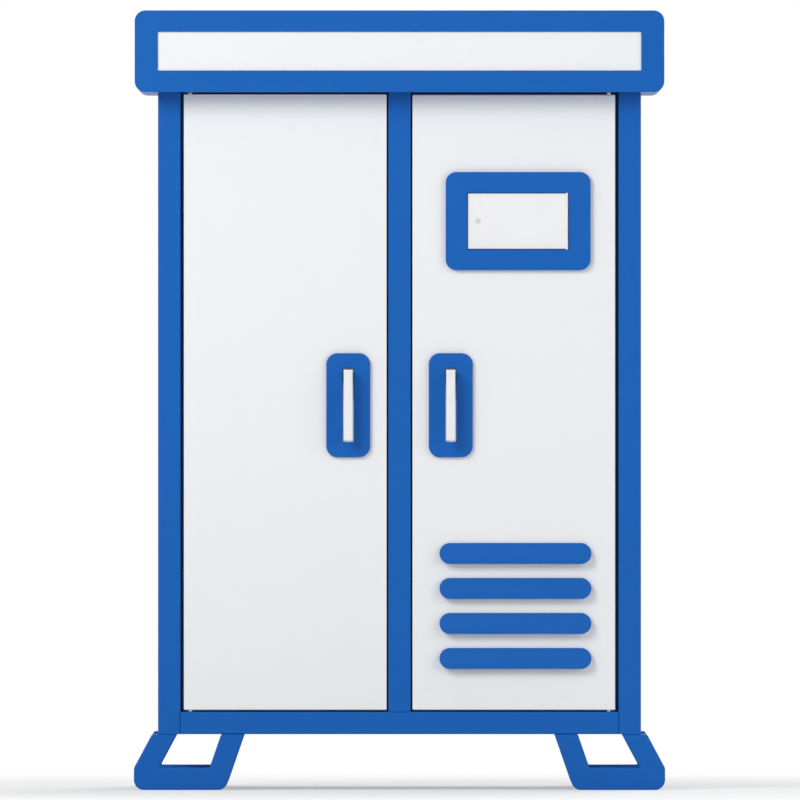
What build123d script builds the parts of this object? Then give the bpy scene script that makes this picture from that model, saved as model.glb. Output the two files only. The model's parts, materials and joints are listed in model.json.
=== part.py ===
from build123d import *
import math
import os

# Traffic signal controller cabinet: a welded tube frame with two inset doors, an
# overhanging roof, splayed feet and the control equipment inside. Millimetres, +Z up,
# the front faces -Y, and the origin is on the ground under the middle of the cabinet.

# Overall sizes
body_width = 900.0
body_depth = 500.0
body_height = 1196.0        # top of the feet to the underside of the roof
foot_height = 104.0
roof_side_reach = 43.0      # the roof past the sides of the body
roof_end_reach = 55.0       # and past its front and back
roof_height = 152.0         # at the front
roof_fall = 10.0            # the roof drops this much to the back, to shed rain

# Frame
tube = 42.0                 # square tube, outside
tube_wall = 2.5
mullion_width = 42.0
stop_thickness = 3.0
panel_recess = 4.0          # side and back panels sit this far inside the tubes
panel_sheet = 2.0
seal_inset = 7.0            # seal from the edge of the opening, at the free side
seal_width = 8.0
seal_gap = 0.3              # between a shut door and its seal
seal_thickness = 5.7
stop_margin = 1.0           # a stop reaches this far past its seal

# Feet
foot_outer_reach = 45.0     # the foot spreads this far past the side of the body
foot_inner_bottom = 128.5   # inner end of the runner, in from the side of the body
foot_inner_top = 161.0      # inner end of the strut at the top, in from the side
foot_wall = 41.0            # width of the foot's struts and runner seen from the front
foot_splay_start = 84.0     # height at which the outer strut's slope is measured
foot_corner = 19.0
anchor_radius = 7.0
anchor_from_side = 45.0     # anchor hole, in from the side of the body

# Roof
roof_wall = 3.0
roof_corner = 20.0
roof_inner_cut = 11.0       # corner cut off inside, where the outside is round
roof_rim = 40.0             # blue rim above and below the fascia panels
roof_side_rim = 43.0
roof_flange_height = 25.0
fascia_lap = 5.0
fascia_sheet = 2.0
vent_slot_width = 6.0
vent_slot_length = 90.0
vent_slot_count = 6

# Doors
door_depth = 28.0
door_sheet = 2.5
door_gap = 3.0              # at the free edge and the sill
door_head_gap = 4.0
hinge_gap = 6.0
door_lip = 34.0
stiffener_height = 36.0
stiffener_flange = 12.0
stiffener_sheet = 2.0
stiffener_depth = 30.0      # back of the stiffeners, behind the front plane
stiffener_spacing = 100.0

# Hinges
hinge_inset = 12.0          # hinge axis, in from the edge of the door
hinge_axis_depth = 10.0     # hinge axis, behind the front plane
hinge_pin_radius = 5.0
hinge_pin_grip = 18.0       # length of a pin inside its block
hinge_block_end = 7.0       # solid end of a block, over its pin
running = 0.08              # radial play of a shaft in its hole
slide_gap = 0.3             # play between flat faces that slide or swing past each other
clearance = 1.0             # between pieces that pass without touching
root_lap = 2.0              # how far a tooth, blade or lug runs into its own body

# Handles and latches
handle_from_lip = 35.0      # handles from the inner edge of the door's lip
handle_drop = 5.5           # handles below the middle of the doors
plate_width = 82.0
plate_height = 194.0
plate_corner = 21.0
plate_thickness = 8.0
slot_width = 20.0           # opening in the plate behind the grip
slot_height = 137.0
lever_width = 17.0
lever_length = 132.0
lever_hub = 28.0            # height of the lever's hub
lever_reach = 32.0          # front of the lever from the plate
grip_thickness = 12.0
lever_edge = 1.5
spindle_size = 10.0         # square
spindle_in_hub = 14.0
gear_module = 2.0
gear_teeth = 12
gear_backlash = 0.3
gear_addendum = 0.93        # in modules, shortened
gear_dedendum = 1.2         # in modules
rack_addendum = 0.68        # in modules, short enough not to undercut the pinion
pressure_angle = math.radians(20.0)
handle_turn = math.radians(90.0)
rod_width = 8.0
rod_thickness = 8.0
rod_behind_tube = 1.5       # rods pass this far behind the frame tubes
rod_tip_gap = 6.0           # drawn rod to the edge of the stop
rack_teeth = 6
latch_length = 140.0
latch_wall_length = 88.0
latch_plate = 3.0
latch_lip = 7.0
cam_radius = 64.0
cam_plate = 4.0
cam_width = 18.0
cam_corner = 5.0
cam_lug = 12.0
guide_sheet = 3.0
guide_margin = 7.0
guide_from_end = 50.0

# Door on the right: louvres and filter
louvre_from_handle = 21.0   # near end of the louvres, from the handle
louvre_from_hinge = 44.5    # far end, from the hinge edge of the door
louvre_up = 194.0           # middle of the group, above the foot of the door
louvre_height = 39.0
louvre_pitch = 65.2
louvre_count = 4
louvre_reach = 16.0         # at the mouth, from the door
louvre_top_reach = 5.0
louvre_nose = 8.0           # height of the upright strip above the mouth
louvre_sheet = 1.5
louvre_slot_end = 26.5      # ends of a slot, in from the ends of its hood
louvre_slot_height = 14.0
filter_overlap = 7.0        # filter past each end of the louvre slots
filter_height = 290.0
filter_depth = 20.0
filter_pleats = 11
filter_frame_wall = 1.5
filter_frame_lap = 6.0

# Door on the right: the small flap over the switches
flap_from_roof = 240.0      # middle of the flap, below the roof
flap_from_hinge = 86.0      # opening of the surround, from the door's hinge edge
flap_frame_side = 40.0      # width of the surround's sides
flap_frame_height = 183.0
flap_frame_corner = 20.0
flap_frame_proud = 9.0
flap_opening_height = 106.0
flap_gap = 1.5
flap_sheet = 3.0
flap_lip = 8.0
flap_lip_thickness = 2.0
flap_barrel_radius = 2.5
flap_pin_length = 6.0       # how far the barrel's ends reach into the frame
lock_radius = 5.0
lock_from_edge = 19.0
lock_slot_width = 1.6
lock_slot_length = 7.0
lock_slot_depth = 1.5
lock_head_proud = 1.0
lock_cam_length = 21.0
lock_cam_width = 10.0
lock_cam_sheet = 2.5
switch_box_depth = 66.0
switch_box_wall = 1.5
switch_box_margin = 11.0
switch_box_gap = 3.6        # between the switch box and the latch rod beside it
toggle_size = 5.0
toggle_tip = 3.2
toggle_front = 18.0         # lever in front of its pivot
toggle_heel = 6.0           # radius of its rounded heel behind the pivot
toggle_tilt = 12.0
switch_slot = 9.0
switch_distance = 64.0      # between the toggle and the push-button
button_size = 14.0          # square
button_length = 9.0
button_edge = 1.2
button_travel = 3.0

# Inside the cabinet
floor_sheet = 2.0
gland_opening_width = 520.0
gland_opening_depth = 200.0
gland_sheet = 3.0
gland_lap = 20.0
cable_slot_width = 420.0
cable_slot_depth = 70.0
channel_width = 41.0
channel_depth = 21.0
channel_sheet = 2.5
channel_lip = 7.0
side_channel_y = 110.0
back_channel_x = 180.0
shelf_sheet = 2.0
shelf_flange = 20.0
shelf_from_front = 110.0
shelf_from_panel = 20.0     # shelves in front of the main panel
shelf_over_panel = 30.0     # lower shelf over the top of the main panel
shelf_spacing = 300.0
pouch_from_handle = 49.5
pouch_from_seal = 4.0
pouch_height = 230.0
pouch_depth = 36.0
pouch_wall = 1.5
pouch_drop = 129.0          # bottom of the pouch, below the spindle
lamp_length = 420.0
lamp_width = 34.0
lamp_height = 18.0
lamp_edge = 8.0
fan_size = 120.0
fan_height = 38.0
fan_wall = 4.0              # least wall round the fan's duct
fan_tip_gap = 3.0
fan_blades = 5
fan_hub = 18.0
fan_bar = 5.0
blade_sheet = 1.5
blade_pitch = 40.0
rotor_height = 24.0

# Equipment
unit_wall = 2.0
unit_from_end = 28.0        # controller and rack, from the end of their shelf
controller_width = 360.0
controller_height = 220.0
controller_depth = 190.0
screen_width = 162.0
screen_height = 75.0
screen_recess = 1.5
screen_x = -72.0            # from the middle of the controller
keys_width = 108.0
keys_height = 88.0
keys_proud = 2.0
keys_x = 94.0
screen_from_top = 66.0      # middle of the screens below the top of the units
monitor_width = 130.0
monitor_from_controller = 80.0
monitor_screen_width = 91.0
monitor_screen_height = 40.0
front_panel = 3.0
front_panel_edge = 6.0      # front panels stand this far past the housing
rack_from_power = 65.0      # between the rack and the power unit
rack_height = 160.0
rack_depth = 170.0
card_width = 48.0
card_gap = 5.0              # least space between two cards
card_face = 3.0
card_board = 2.0
card_head = 28.0            # free height over the cards
card_from_back = 20.0       # cards end this far before the back of the rack
power_width = 330.0
power_height = 180.0
power_depth = 170.0
power_from_end = 43.0       # power unit from the end of its shelf
outlet_width = 70.0
outlet_height = 115.0
outlet_proud = 4.0
outlet_x = 99.0             # from the middle of the power unit
breaker_width = 27.0
breaker_height = 72.0
breaker_depth = 12.0
breaker_count = 3
breaker_spacing = 40.0
breaker_first_x = -125.0    # main breaker from the middle of the power unit
toggle_slot_width = 10.0
toggle_slot_height = 26.0
toggle_slot_depth = 9.0
rocker_root = 5.0           # thickness at the pivot
rocker_heel = 5.0           # radius of the rounded heel behind the pivot
rocker_tip = 3.2
rocker_length = 16.0
rocker_tilt = 20.0
main_panel_from_post = 28.0
main_panel_height = 380.0
main_panel_bottom = 190.0
main_panel_sheet = 3.0
bay_depth = 60.0
bay_height = 190.0          # above the foot of the main panel
bay_lip = 15.0
main_panel_edge = 15.0      # fittings from the edges of the main panel
switch_count = 12
switch_width = 42.0
switch_height = 108.0
switch_depth = 120.0
switch_gap = 5.0
relay_count = 4
relay_size = 38.0
relay_gap = 11.0
relay_up = 106.0            # above the foot of the main panel
relay_height = 52.0
strip_count = 2
strip_first = 25.0          # middle of the lowest strip above the foot of the panel
strip_spacing = 45.0
strip_pole_pitch = 46.0
strip_height = 30.0
strip_depth = 20.0
strip_bed = 9.0             # the screw bays from the panel
barrier = 3.0
bus_bar_from_middle = 65.0  # inner end of the bars
bus_bar_height = 14.0
bus_bar_thickness = 6.0
bus_bar_count = 2
bus_bar_first = 18.0        # foot of the lower bar above the foot of the panel
bus_bar_spacing = 26.0

# Places worked out from the sizes above
front = -body_depth / 2
back = body_depth / 2
side = body_width / 2
post_inner = side - tube
sill_top = foot_height + tube
roof_bottom = foot_height + body_height
roof_width = body_width + 2 * roof_side_reach
roof_depth = body_depth + 2 * roof_end_reach
rail_top = roof_bottom + tube
roof_top = roof_bottom + roof_height
stop_depth = door_depth + seal_gap + seal_thickness    # behind the front plane
stop_width = seal_inset + seal_width + stop_margin
stop_back = stop_depth + stop_thickness
strike_back = max(tube, stop_back + stop_thickness)    # what the rods go behind
free_edge = mullion_width / 2 + door_gap
hinge_edge = post_inner - hinge_gap
door_width = hinge_edge - free_edge
door_x = (hinge_edge + free_edge) / 2
door_bottom = sill_top + door_gap
door_top = roof_bottom - door_head_gap
door_height = door_top - door_bottom
door_z = (door_top + door_bottom) / 2
hinge_x = hinge_edge - hinge_inset
hinge_block_height = hinge_pin_grip + hinge_block_end
seal_edge = hinge_x - hinge_inset - clearance   # clear of the door's swinging corner
handle_x = free_edge + door_sheet + door_lip + handle_from_lip
handle_z = door_z - handle_drop
spindle_z = handle_z + lever_length / 2 - lever_hub / 2
pitch_radius = gear_module * gear_teeth / 2
rod_travel = pitch_radius * handle_turn
rod_front = strike_back + rod_behind_tube
rod_back = rod_front + rod_thickness
rack_root = pitch_radius + gear_dedendum * gear_module
rod_outer = rack_root + rod_width

louvre_near = handle_x - louvre_from_handle
louvre_far = hinge_edge - louvre_from_hinge
louvre_x = (louvre_near + louvre_far) / 2
louvre_z = door_bottom + louvre_up
louvre_width = louvre_far - louvre_near
louvre_slot_width = louvre_width - 2 * louvre_slot_end
filter_width = louvre_slot_width + 2 * filter_overlap
switch_box_near = handle_x + rod_outer + switch_box_gap
flap_near = switch_box_near + switch_box_wall + switch_box_margin - flap_lip
flap_far = hinge_edge - flap_from_hinge
flap_x = (flap_near + flap_far) / 2
flap_z = roof_bottom - flap_from_roof
flap_opening_width = flap_far - flap_near
flap_frame_width = flap_opening_width + 2 * flap_frame_side
pouch_near = handle_x + pouch_from_handle
pouch_far = seal_edge - seal_width - pouch_from_seal
pouch_width = pouch_far - pouch_near
pouch_x = -(pouch_near + pouch_far) / 2
pouch_z = spindle_z - pouch_drop

floor_top = sill_top + floor_sheet
side_panel_inner = side - panel_recess - panel_sheet
back_panel_inner = back - panel_recess - panel_sheet
shelf_half = side_panel_inner - channel_depth
fan_bore = fan_size / 2 - fan_wall
main_panel_width = 2 * (post_inner - main_panel_from_post)
main_panel_front = back_panel_inner - channel_depth - main_panel_sheet
main_panel_top = main_panel_bottom + main_panel_height
bay_z = main_panel_bottom + bay_height
fitting_half = main_panel_width / 2 - main_panel_edge  # fittings end here
strip_poles = int((fitting_half - barrier) / strip_pole_pitch)
switch_spacing = switch_width + switch_gap
relay_spacing = relay_size + relay_gap

shelf_front = front + shelf_from_front
shelf_back = main_panel_front - shelf_from_panel
lower_shelf_z = main_panel_top + shelf_over_panel
upper_shelf_z = lower_shelf_z + shelf_spacing
screen_up = controller_height - screen_from_top
controller_x = unit_from_end + controller_width / 2 - shelf_half
unit_spacing = (controller_width + monitor_width) / 2 + monitor_from_controller
monitor_x = controller_x + unit_spacing
power_x = shelf_half - power_from_end - power_width / 2
rack_right = power_x - power_width / 2 - rack_from_power
rack_width = rack_right + shelf_half - unit_from_end
rack_x = rack_right - rack_width / 2
card_count = int((rack_width - 2 * unit_wall) / (card_width + card_gap))
card_height = rack_height - 2 * unit_wall - card_head
card_depth = rack_depth - card_from_back

front_plane = Plane.XZ.offset(-front)   # its normal points out of the front


def at_front(x, z, depth=0.0):
    # A place on the front of the cabinet, or behind it by depth.
    return front_plane * Pos(x, z, -depth)


def slab(x0, x1, y0, y1, z0, z1):
    # A rectangular bar between two corners.
    size = (x1 - x0, y1 - y0, z1 - z0)
    middle = ((x0 + x1) / 2, (y0 + y1) / 2, (z0 + z1) / 2)
    return Pos(*middle) * Box(*size)


def cut_in(x, z, width, height, from_depth, to_depth):
    # A rectangular bar running inward from the front plane, seen as width by height.
    sketch = at_front(x, z, from_depth) * Rectangle(width, height)
    return extrude(sketch, from_depth - to_depth)


def rod_in(x, z, radius, from_depth, to_depth):
    # A round bar running inward from the front plane.
    return extrude(at_front(x, z, from_depth) * Circle(radius), from_depth - to_depth)


def mirrored(shape):
    # The same piece for the other half of the cabinet.
    return mirror(shape, about=Plane.YZ)


def polygon(points):
    return make_face(Polyline(*points, close=True))


def save(name, *pieces):
    solids = [solid for piece in pieces for solid in piece.solids()]
    shape = solids[0] if len(solids) == 1 else Compound(solids)
    export_step(shape, f"parts/{name}.step")


# Frame

def frame_tube(length, width=tube, depth=tube):
    hole = Rectangle(width - 2 * tube_wall, depth - 2 * tube_wall)
    return extrude(Rectangle(width, depth) - hole, length)


def corner_posts():
    at = [side - tube / 2, back - tube / 2]
    height = rail_top - foot_height
    return [Pos(sx * at[0], sy * at[1], foot_height) * frame_tube(height)
            for sx in (-1, 1) for sy in (-1, 1)]


def ring_rails():
    # Two rings of four tubes between the posts, at the sill and at the head.
    across, deep = body_width - 2 * tube, body_depth - 2 * tube
    rails = []
    for z in (foot_height + tube / 2, roof_bottom + tube / 2):
        for end in (-1, 1):
            lengthwise = Pos(-across / 2, end * (back - tube / 2), z) * Rot(0, 90, 0)
            rails.append(lengthwise * frame_tube(across))
            endwise = Pos(end * (side - tube / 2), -deep / 2, z) * Rot(-90, 0, 0)
            rails.append(endwise * frame_tube(deep))
    return rails


def mullion():
    post = frame_tube(roof_bottom - sill_top, mullion_width, stop_depth)
    return Pos(0, front + stop_depth / 2, sill_top) * post


def door_stops():
    # Strips behind both openings, one wide plate behind the mullion, and the strike
    # pads that the latch rods go behind.
    y0, y1 = front + stop_depth, front + stop_back
    centre = mullion_width / 2 + stop_width
    strips = [slab(-centre, centre, y0, y1, sill_top, roof_bottom)]
    inner = seal_edge - seal_width - clearance
    for z0, z1 in ((sill_top, sill_top + stop_width),
                   (roof_bottom - stop_width, roof_bottom)):
        strips.append(slab(centre, inner, y0, y1, z0, z1))
    strips.append(slab(inner, post_inner, y0, y1, sill_top, roof_bottom))
    rod_middle = (rack_root + rod_outer) / 2
    pad_height = stop_width - floor_sheet
    pads = [(handle_x + rod_middle, roof_bottom - stop_width + pad_height / 2),
            (handle_x - rod_middle, sill_top + stop_width - pad_height / 2)]
    for x, z in pads:
        strips.append(cut_in(x, z, 2 * stop_width, pad_height, stop_back, strike_back))
    return strips + [mirrored(strip) for strip in strips[1:]]


def door_seal():
    # A closed ring of soft strip on the stops round one opening.
    x0, x1 = mullion_width / 2 + seal_inset, seal_edge
    height = roof_bottom - sill_top - 2 * seal_inset
    z = (roof_bottom + sill_top) / 2
    ring = Rectangle(x1 - x0, height) - Rectangle(x1 - x0 - 2 * seal_width,
                                                  height - 2 * seal_width)
    start = door_depth + seal_gap
    return extrude(at_front((x0 + x1) / 2, z, start) * ring, start - stop_depth)


def side_panel():
    x1 = side - panel_recess
    return slab(x1 - panel_sheet, x1, front + tube, back - tube, sill_top, roof_bottom)


def back_panel():
    y1 = back - panel_recess
    return slab(-post_inner, post_inner, y1 - panel_sheet, y1, sill_top, roof_bottom)


# Feet

def foot():
    # One splayed foot seen from the front: two leaning struts and a runner, cast as
    # one loop, with the anchor hole down through the runner.
    slope = foot_outer_reach / foot_splay_start
    lean = (foot_inner_top - foot_inner_bottom) / (foot_height - foot_wall / 4)
    top = foot_height

    def outer(z):
        return side + foot_outer_reach - slope * max(z - foot_wall, 0)

    def inner(z):
        return side - foot_inner_bottom - lean * (z - foot_wall / 4)

    outline = polygon([(outer(top), top), (outer(foot_wall), foot_wall),
                       (outer(0), 0), (inner(0), 0), (inner(top), top)])
    strut_out = foot_wall / math.cos(math.atan(slope))
    strut_in = foot_wall / math.cos(math.atan(lean))
    hole = polygon([(outer(top) - strut_out, top), (outer(foot_wall) - strut_out, foot_wall),
                    (inner(foot_wall) + strut_in, foot_wall), (inner(top) + strut_in, top)])
    ends = outline.vertices().group_by(Axis.Y)[0]
    outline = fillet(ends, foot_corner)
    y = back - tube / 2
    face = Plane.XZ.offset(-y - tube / 2)
    body = extrude(face * (outline - hole), tube)
    anchor = Pos(side - anchor_from_side, y, 0) * Cylinder(
        anchor_radius, foot_wall, align=(Align.CENTER, Align.CENTER, Align.MIN))
    return body - anchor


# Roof

def roof_block(inset):
    half, low, high = roof_depth / 2 - inset, roof_bottom + inset, roof_top - inset
    profile = polygon([(-half, low), (half, low), (half, high - roof_fall), (-half, high)])
    return extrude(Plane.YZ * profile, roof_width / 2 - inset, both=True)


def long_edges(block):
    # The edges that run from the front of the roof to its back.
    return block.edges().filter_by(lambda edge: abs((edge % 0.5).Y) > 0.9)


def roof_cavity():
    # The space inside, with its corners cut off where the outside is round.
    return chamfer(long_edges(roof_block(roof_wall)), roof_inner_cut)


def fascia_block(inset, lap, sheet):
    # Four bars on the faces of the roof, standing inset behind the surface.
    low, high = roof_bottom + roof_rim - lap, roof_top - roof_rim + lap
    half_x = roof_width / 2 - roof_side_rim + lap
    half_y = roof_depth / 2 - roof_side_rim + lap
    out_x, out_y = roof_width / 2 - inset, roof_depth / 2 - inset
    return [slab(-half_x, half_x, -out_y, sheet - out_y, low, high),
            slab(-half_x, half_x, out_y - sheet, out_y, low, high),
            slab(-out_x, sheet - out_x, -half_y, half_y, low, high),
            slab(out_x - sheet, out_x, -half_y, half_y, low, high)]


def roof_shell(cavity):
    # A wrapped sheet hood with a flange turned up round the frame, four windows for
    # the fascia panels, and air slots under the front overhang.
    flange = Pos(0, 0, roof_bottom) * Box(
        body_width + 2 * roof_wall, body_depth + 2 * roof_wall,
        roof_flange_height, align=(Align.CENTER, Align.CENTER, Align.MIN))
    opening = Pos(0, 0, roof_bottom) * Box(
        body_width, body_depth, roof_flange_height,
        align=(Align.CENTER, Align.CENTER, Align.MIN))
    outside = roof_block(0)
    shell = fillet(long_edges(outside), roof_corner) - (cavity - flange) - opening
    for window in fascia_block(0, 0, roof_wall):
        shell -= window
    pitch = body_width / vent_slot_count
    middle = (front - roof_depth / 2 + roof_wall) / 2
    for i in range(vent_slot_count):
        x = (i - (vent_slot_count - 1) / 2) * pitch
        shell -= Pos(x, middle, roof_bottom) * Box(vent_slot_length, vent_slot_width,
                                                   3 * roof_wall)
    return shell


def roof_fascia(cavity):
    return [bar & cavity for bar in fascia_block(roof_wall, fascia_lap, fascia_sheet)]


def ceiling_plate():
    sheet = slab(-side, side, front, back, rail_top, rail_top + panel_sheet)
    opening = Pos(0, 0, rail_top) * RegularPolygon(fan_bore, 8)
    return sheet - extrude(opening, panel_sheet)


# Doors

def door_pan():
    # A folded pan: skin, four returns and the lips turned in behind them.
    pan = cut_in(door_x, door_z, door_width, door_height, 0, door_depth)
    inner_w, inner_h = door_width - 2 * door_sheet, door_height - 2 * door_sheet
    lip_back = door_depth - door_sheet
    pan -= cut_in(door_x, door_z, inner_w, inner_h, door_sheet, lip_back)
    clear_w, clear_h = inner_w - 2 * door_lip, inner_h - 2 * door_lip
    pan -= cut_in(door_x, door_z, clear_w, clear_h, lip_back, door_depth)
    for z in (door_bottom, door_top - door_sheet):
        pan -= hinge_block_bar(z, z + door_sheet)
    hole = slot_width - 2 * slide_gap
    return pan - cut_in(handle_x, spindle_z, hole, hole, 0, door_depth)


def stiffeners():
    # Two hat sections across the back of the skin, which carry the latch.
    flat, top, sheet = door_sheet, stiffener_depth, stiffener_sheet
    half = stiffener_height / 2
    foot_end = half + stiffener_flange
    points = [(flat, foot_end), (flat + sheet, foot_end), (flat + sheet, half),
              (top, half), (top, -half), (flat + sheet, -half),
              (flat + sheet, -foot_end), (flat, -foot_end), (flat, sheet - half),
              (top - sheet, sheet - half), (top - sheet, half - sheet), (flat, half - sheet)]
    length = door_width - 2 * (door_sheet + door_lip)
    section = Plane.YZ * polygon([(front + d, z) for d, z in points])
    hat = Pos(door_x - length / 2, 0, 0) * extrude(section, length)
    return [Pos(0, 0, spindle_z + end * stiffener_spacing / 2) * hat for end in (-1, 1)]


# Hinges

def hinge_barrel(z, height, radius):
    place = Pos(hinge_x, front + hinge_axis_depth, z)
    return place * Cylinder(radius, height, align=(Align.CENTER, Align.CENTER, Align.MIN))


def hinge_pins():
    # The pins that stand on the sill and hang from the head, inside the door's ends.
    low = door_gap + door_sheet + hinge_pin_grip
    high = door_head_gap + door_sheet + hinge_pin_grip
    return [hinge_barrel(sill_top, low, hinge_pin_radius),
            hinge_barrel(roof_bottom - high, high, hinge_pin_radius)]


def hinge_block_bar(z0, z1):
    half = hinge_inset - door_sheet
    near = front + door_sheet
    far = front + 2 * hinge_axis_depth - door_sheet
    return slab(hinge_x - half, hinge_x + half, near, far, z0, z1)


def hinge_blocks():
    # Bored blocks let into the two corners of the door that turn on the pins.
    bore = door_sheet + hinge_pin_grip + slide_gap
    low = hinge_block_bar(door_bottom, door_bottom + hinge_block_height)
    low -= hinge_barrel(door_bottom, bore, hinge_pin_radius + running)
    high = hinge_block_bar(door_top - hinge_block_height, door_top)
    high -= hinge_barrel(door_top - bore, bore, hinge_pin_radius + running)
    return [low, high]


# Handles and latches

def handle_plate():
    # A rounded plate with a long opening behind the grip.
    outline = RectangleRounded(plate_width, plate_height, plate_corner)
    outline -= Rectangle(slot_width, slot_height)
    return extrude(at_front(handle_x, handle_z) * outline, plate_thickness)


def lever():
    # Seen from the side: a hub over the spindle and a grip that stands off the plate.
    near, far = plate_thickness + slide_gap, plate_thickness + lever_reach
    grip = far - grip_thickness
    top = handle_z + lever_length / 2
    low = handle_z - lever_length / 2
    hub = top - lever_hub
    points = [(near, top), (far, top), (far, low), (grip, low),
              (grip, hub - (grip - near)), (near, hub)]
    profile = Plane.YZ * polygon([(front - depth, z) for depth, z in points])
    bar = Pos(handle_x, 0, 0) * extrude(profile, lever_width / 2, both=True)
    bar = chamfer(bar.faces().sort_by(Axis.Y)[0].edges(), lever_edge)
    return bar - cut_in(handle_x, spindle_z, spindle_size, spindle_size,
                        -near - spindle_in_hub, -near)


def tooth_half_angle(radius):
    # Half the angle that a pinion tooth fills at a radius, on an involute flank.
    def involute(angle):
        return math.tan(angle) - angle
    base = pitch_radius * math.cos(pressure_angle)
    at_pitch = (math.pi * gear_module - gear_backlash) / (4 * pitch_radius)
    flank = math.acos(min(1.0, base / radius))
    return at_pitch + involute(pressure_angle) - involute(flank)


def pinion():
    # The toothed wheel on its square spindle, and behind it the cam whose lug draws
    # the middle of the door in behind the mullion's stop.
    root = pitch_radius - gear_dedendum * gear_module
    tip = pitch_radius + gear_addendum * gear_module
    base = pitch_radius * math.cos(pressure_angle)
    flank = [root, (base + tip) / 2, tip]
    points = []
    for i in range(gear_teeth):
        middle = 2 * math.pi * i / gear_teeth
        for sense, radii in ((-1, flank), (1, flank[::-1])):
            for radius in radii:
                turn = middle + sense * tooth_half_angle(max(radius, base))
                points.append((radius * math.cos(turn), radius * math.sin(turn)))
    wheel_front = rod_front - slide_gap
    wheel = extrude(at_front(handle_x, spindle_z, wheel_front) * polygon(points),
                    wheel_front - rod_back - slide_gap)
    cam_front = latch_back() + clearance
    cam_back = cam_front + cam_plate
    start = plate_thickness + slide_gap + spindle_in_hub
    spindle = cut_in(handle_x, spindle_z, spindle_size, spindle_size, -start, cam_back)
    arm = Rectangle(cam_width, cam_radius + cam_width)
    arm = chamfer(arm.vertices(), cam_corner)
    arm = at_front(handle_x, spindle_z + cam_radius / 2, cam_front) * arm
    lug = cut_in(handle_x, spindle_z + cam_radius, cam_lug, cam_lug,
                 stop_back + clearance, cam_front)
    return wheel + spindle + extrude(arm, -cam_plate) + lug


def latch_back():
    return rod_back + 2 * slide_gap + latch_plate


def latch_frame():
    # A base plate on the stiffeners with two walls and lips that hold the racks. The
    # corners of the spindle turn in its round hole.
    base_front, walls_back = stiffener_depth, latch_back()
    wall = rod_outer + slide_gap
    outer = wall + latch_plate
    frame = cut_in(handle_x, spindle_z, 2 * outer, latch_length,
                   base_front, base_front + latch_plate)
    for end in (-1, 1):
        frame += cut_in(handle_x + end * (wall + latch_plate / 2), spindle_z,
                        latch_plate, latch_wall_length, base_front, walls_back)
        frame += cut_in(handle_x + end * (outer - latch_lip / 2), spindle_z,
                        latch_lip, latch_wall_length, walls_back - latch_plate, walls_back)
    bearing = spindle_size / math.sqrt(2) + running
    return frame - rod_in(handle_x, spindle_z, bearing, base_front, walls_back)


def rack_rod(end):
    # A latch rod, end +1 for the one that goes up: a flat bar whose last stretch is
    # cut as a rack. A gap of the rack faces the pinion's tooth when it is drawn.
    pitch = math.pi * gear_module
    tip_x = pitch_radius - rack_addendum * gear_module
    half = pitch / 4 - gear_backlash / 2
    slope = math.tan(pressure_angle)
    wide = half + (rack_root - pitch_radius) * slope
    narrow = half - (pitch_radius - tip_x) * slope
    first = 1.5 - rack_teeth
    start = first * pitch - wide - root_lap
    if end > 0:
        stop = roof_bottom - stop_width - rod_tip_gap - spindle_z
    else:
        stop = spindle_z - sill_top - stop_width - rod_tip_gap
    points = [(rod_outer, start), (rack_root, start)]
    for i in range(rack_teeth):
        z = (first + i) * pitch
        points += [(rack_root, z - wide), (tip_x, z - narrow),
                   (tip_x, z + narrow), (rack_root, z + wide)]
    points += [(rack_root, stop - rod_width), (rack_root + rod_width / 3, stop),
               (rod_outer - rod_width / 3, stop), (rod_outer, stop - rod_width)]
    outline = polygon([(end * x, end * z) for x, z in points])
    return extrude(at_front(handle_x, spindle_z, rod_front) * outline, -rod_thickness)


def rod_guides():
    # Sheet tabs standing on the skin, each with a square hole for its rod.
    middle = (rack_root + rod_outer) / 2
    places = [(middle, door_top - guide_from_end), (-middle, door_bottom + guide_from_end),
              (-middle, (spindle_z + door_bottom) / 2)]
    tabs = []
    for offset, z in places:
        x = handle_x + offset
        wide = rod_width + 2 * guide_margin
        tab = cut_in(x, z, wide, guide_sheet, door_sheet, rod_back + guide_margin)
        tabs.append(tab - cut_in(x, z, rod_width + 2 * slide_gap, guide_sheet,
                                 rod_front - slide_gap, rod_back + slide_gap))
    return tabs


# Louvres and filter

def louvre_heights():
    first = louvre_z - louvre_pitch * (louvre_count - 1) / 2
    return [first + i * louvre_pitch for i in range(louvre_count)]


def louvre_hood(z):
    # A hood with round ends over its slot: it leans out to an upright nose, and it is
    # hollow and open below.
    low, high = z - louvre_height / 2, z + louvre_height / 2

    def leaning(inset):
        top, nose = louvre_top_reach - inset, louvre_reach - inset
        points = [(0, low), (nose, low), (nose, low + louvre_nose), (top, high - inset),
                  (0, high - inset)]
        return Plane.YZ * polygon([(front - out, height) for out, height in points])

    outline = at_front(louvre_x, z) * SlotOverall(louvre_width, louvre_height)
    hood = extrude(outline, louvre_reach)
    hood &= Pos(louvre_x, 0, 0) * extrude(leaning(0), louvre_width / 2, both=True)
    straight = (louvre_width - louvre_height) / 2
    return hood - Pos(louvre_x, 0, 0) * extrude(leaning(louvre_sheet), straight, both=True)


def air_filter():
    # A pleated panel behind the louvres: flat in front, zigzag behind.
    near, far = front + door_sheet, front + door_sheet + filter_depth
    pitch = filter_height / filter_pleats
    low = louvre_z - filter_height / 2
    points = [(near, low)]
    for i in range(filter_pleats):
        points += [(near + filter_depth / 3, low + i * pitch),
                   (far, low + (i + 0.5) * pitch)]
    points += [(near + filter_depth / 3, low + filter_height), (near, low + filter_height)]
    body = extrude(Plane.YZ * polygon(points), filter_width)
    return Pos(louvre_x - filter_width / 2, 0, 0) * body


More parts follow.
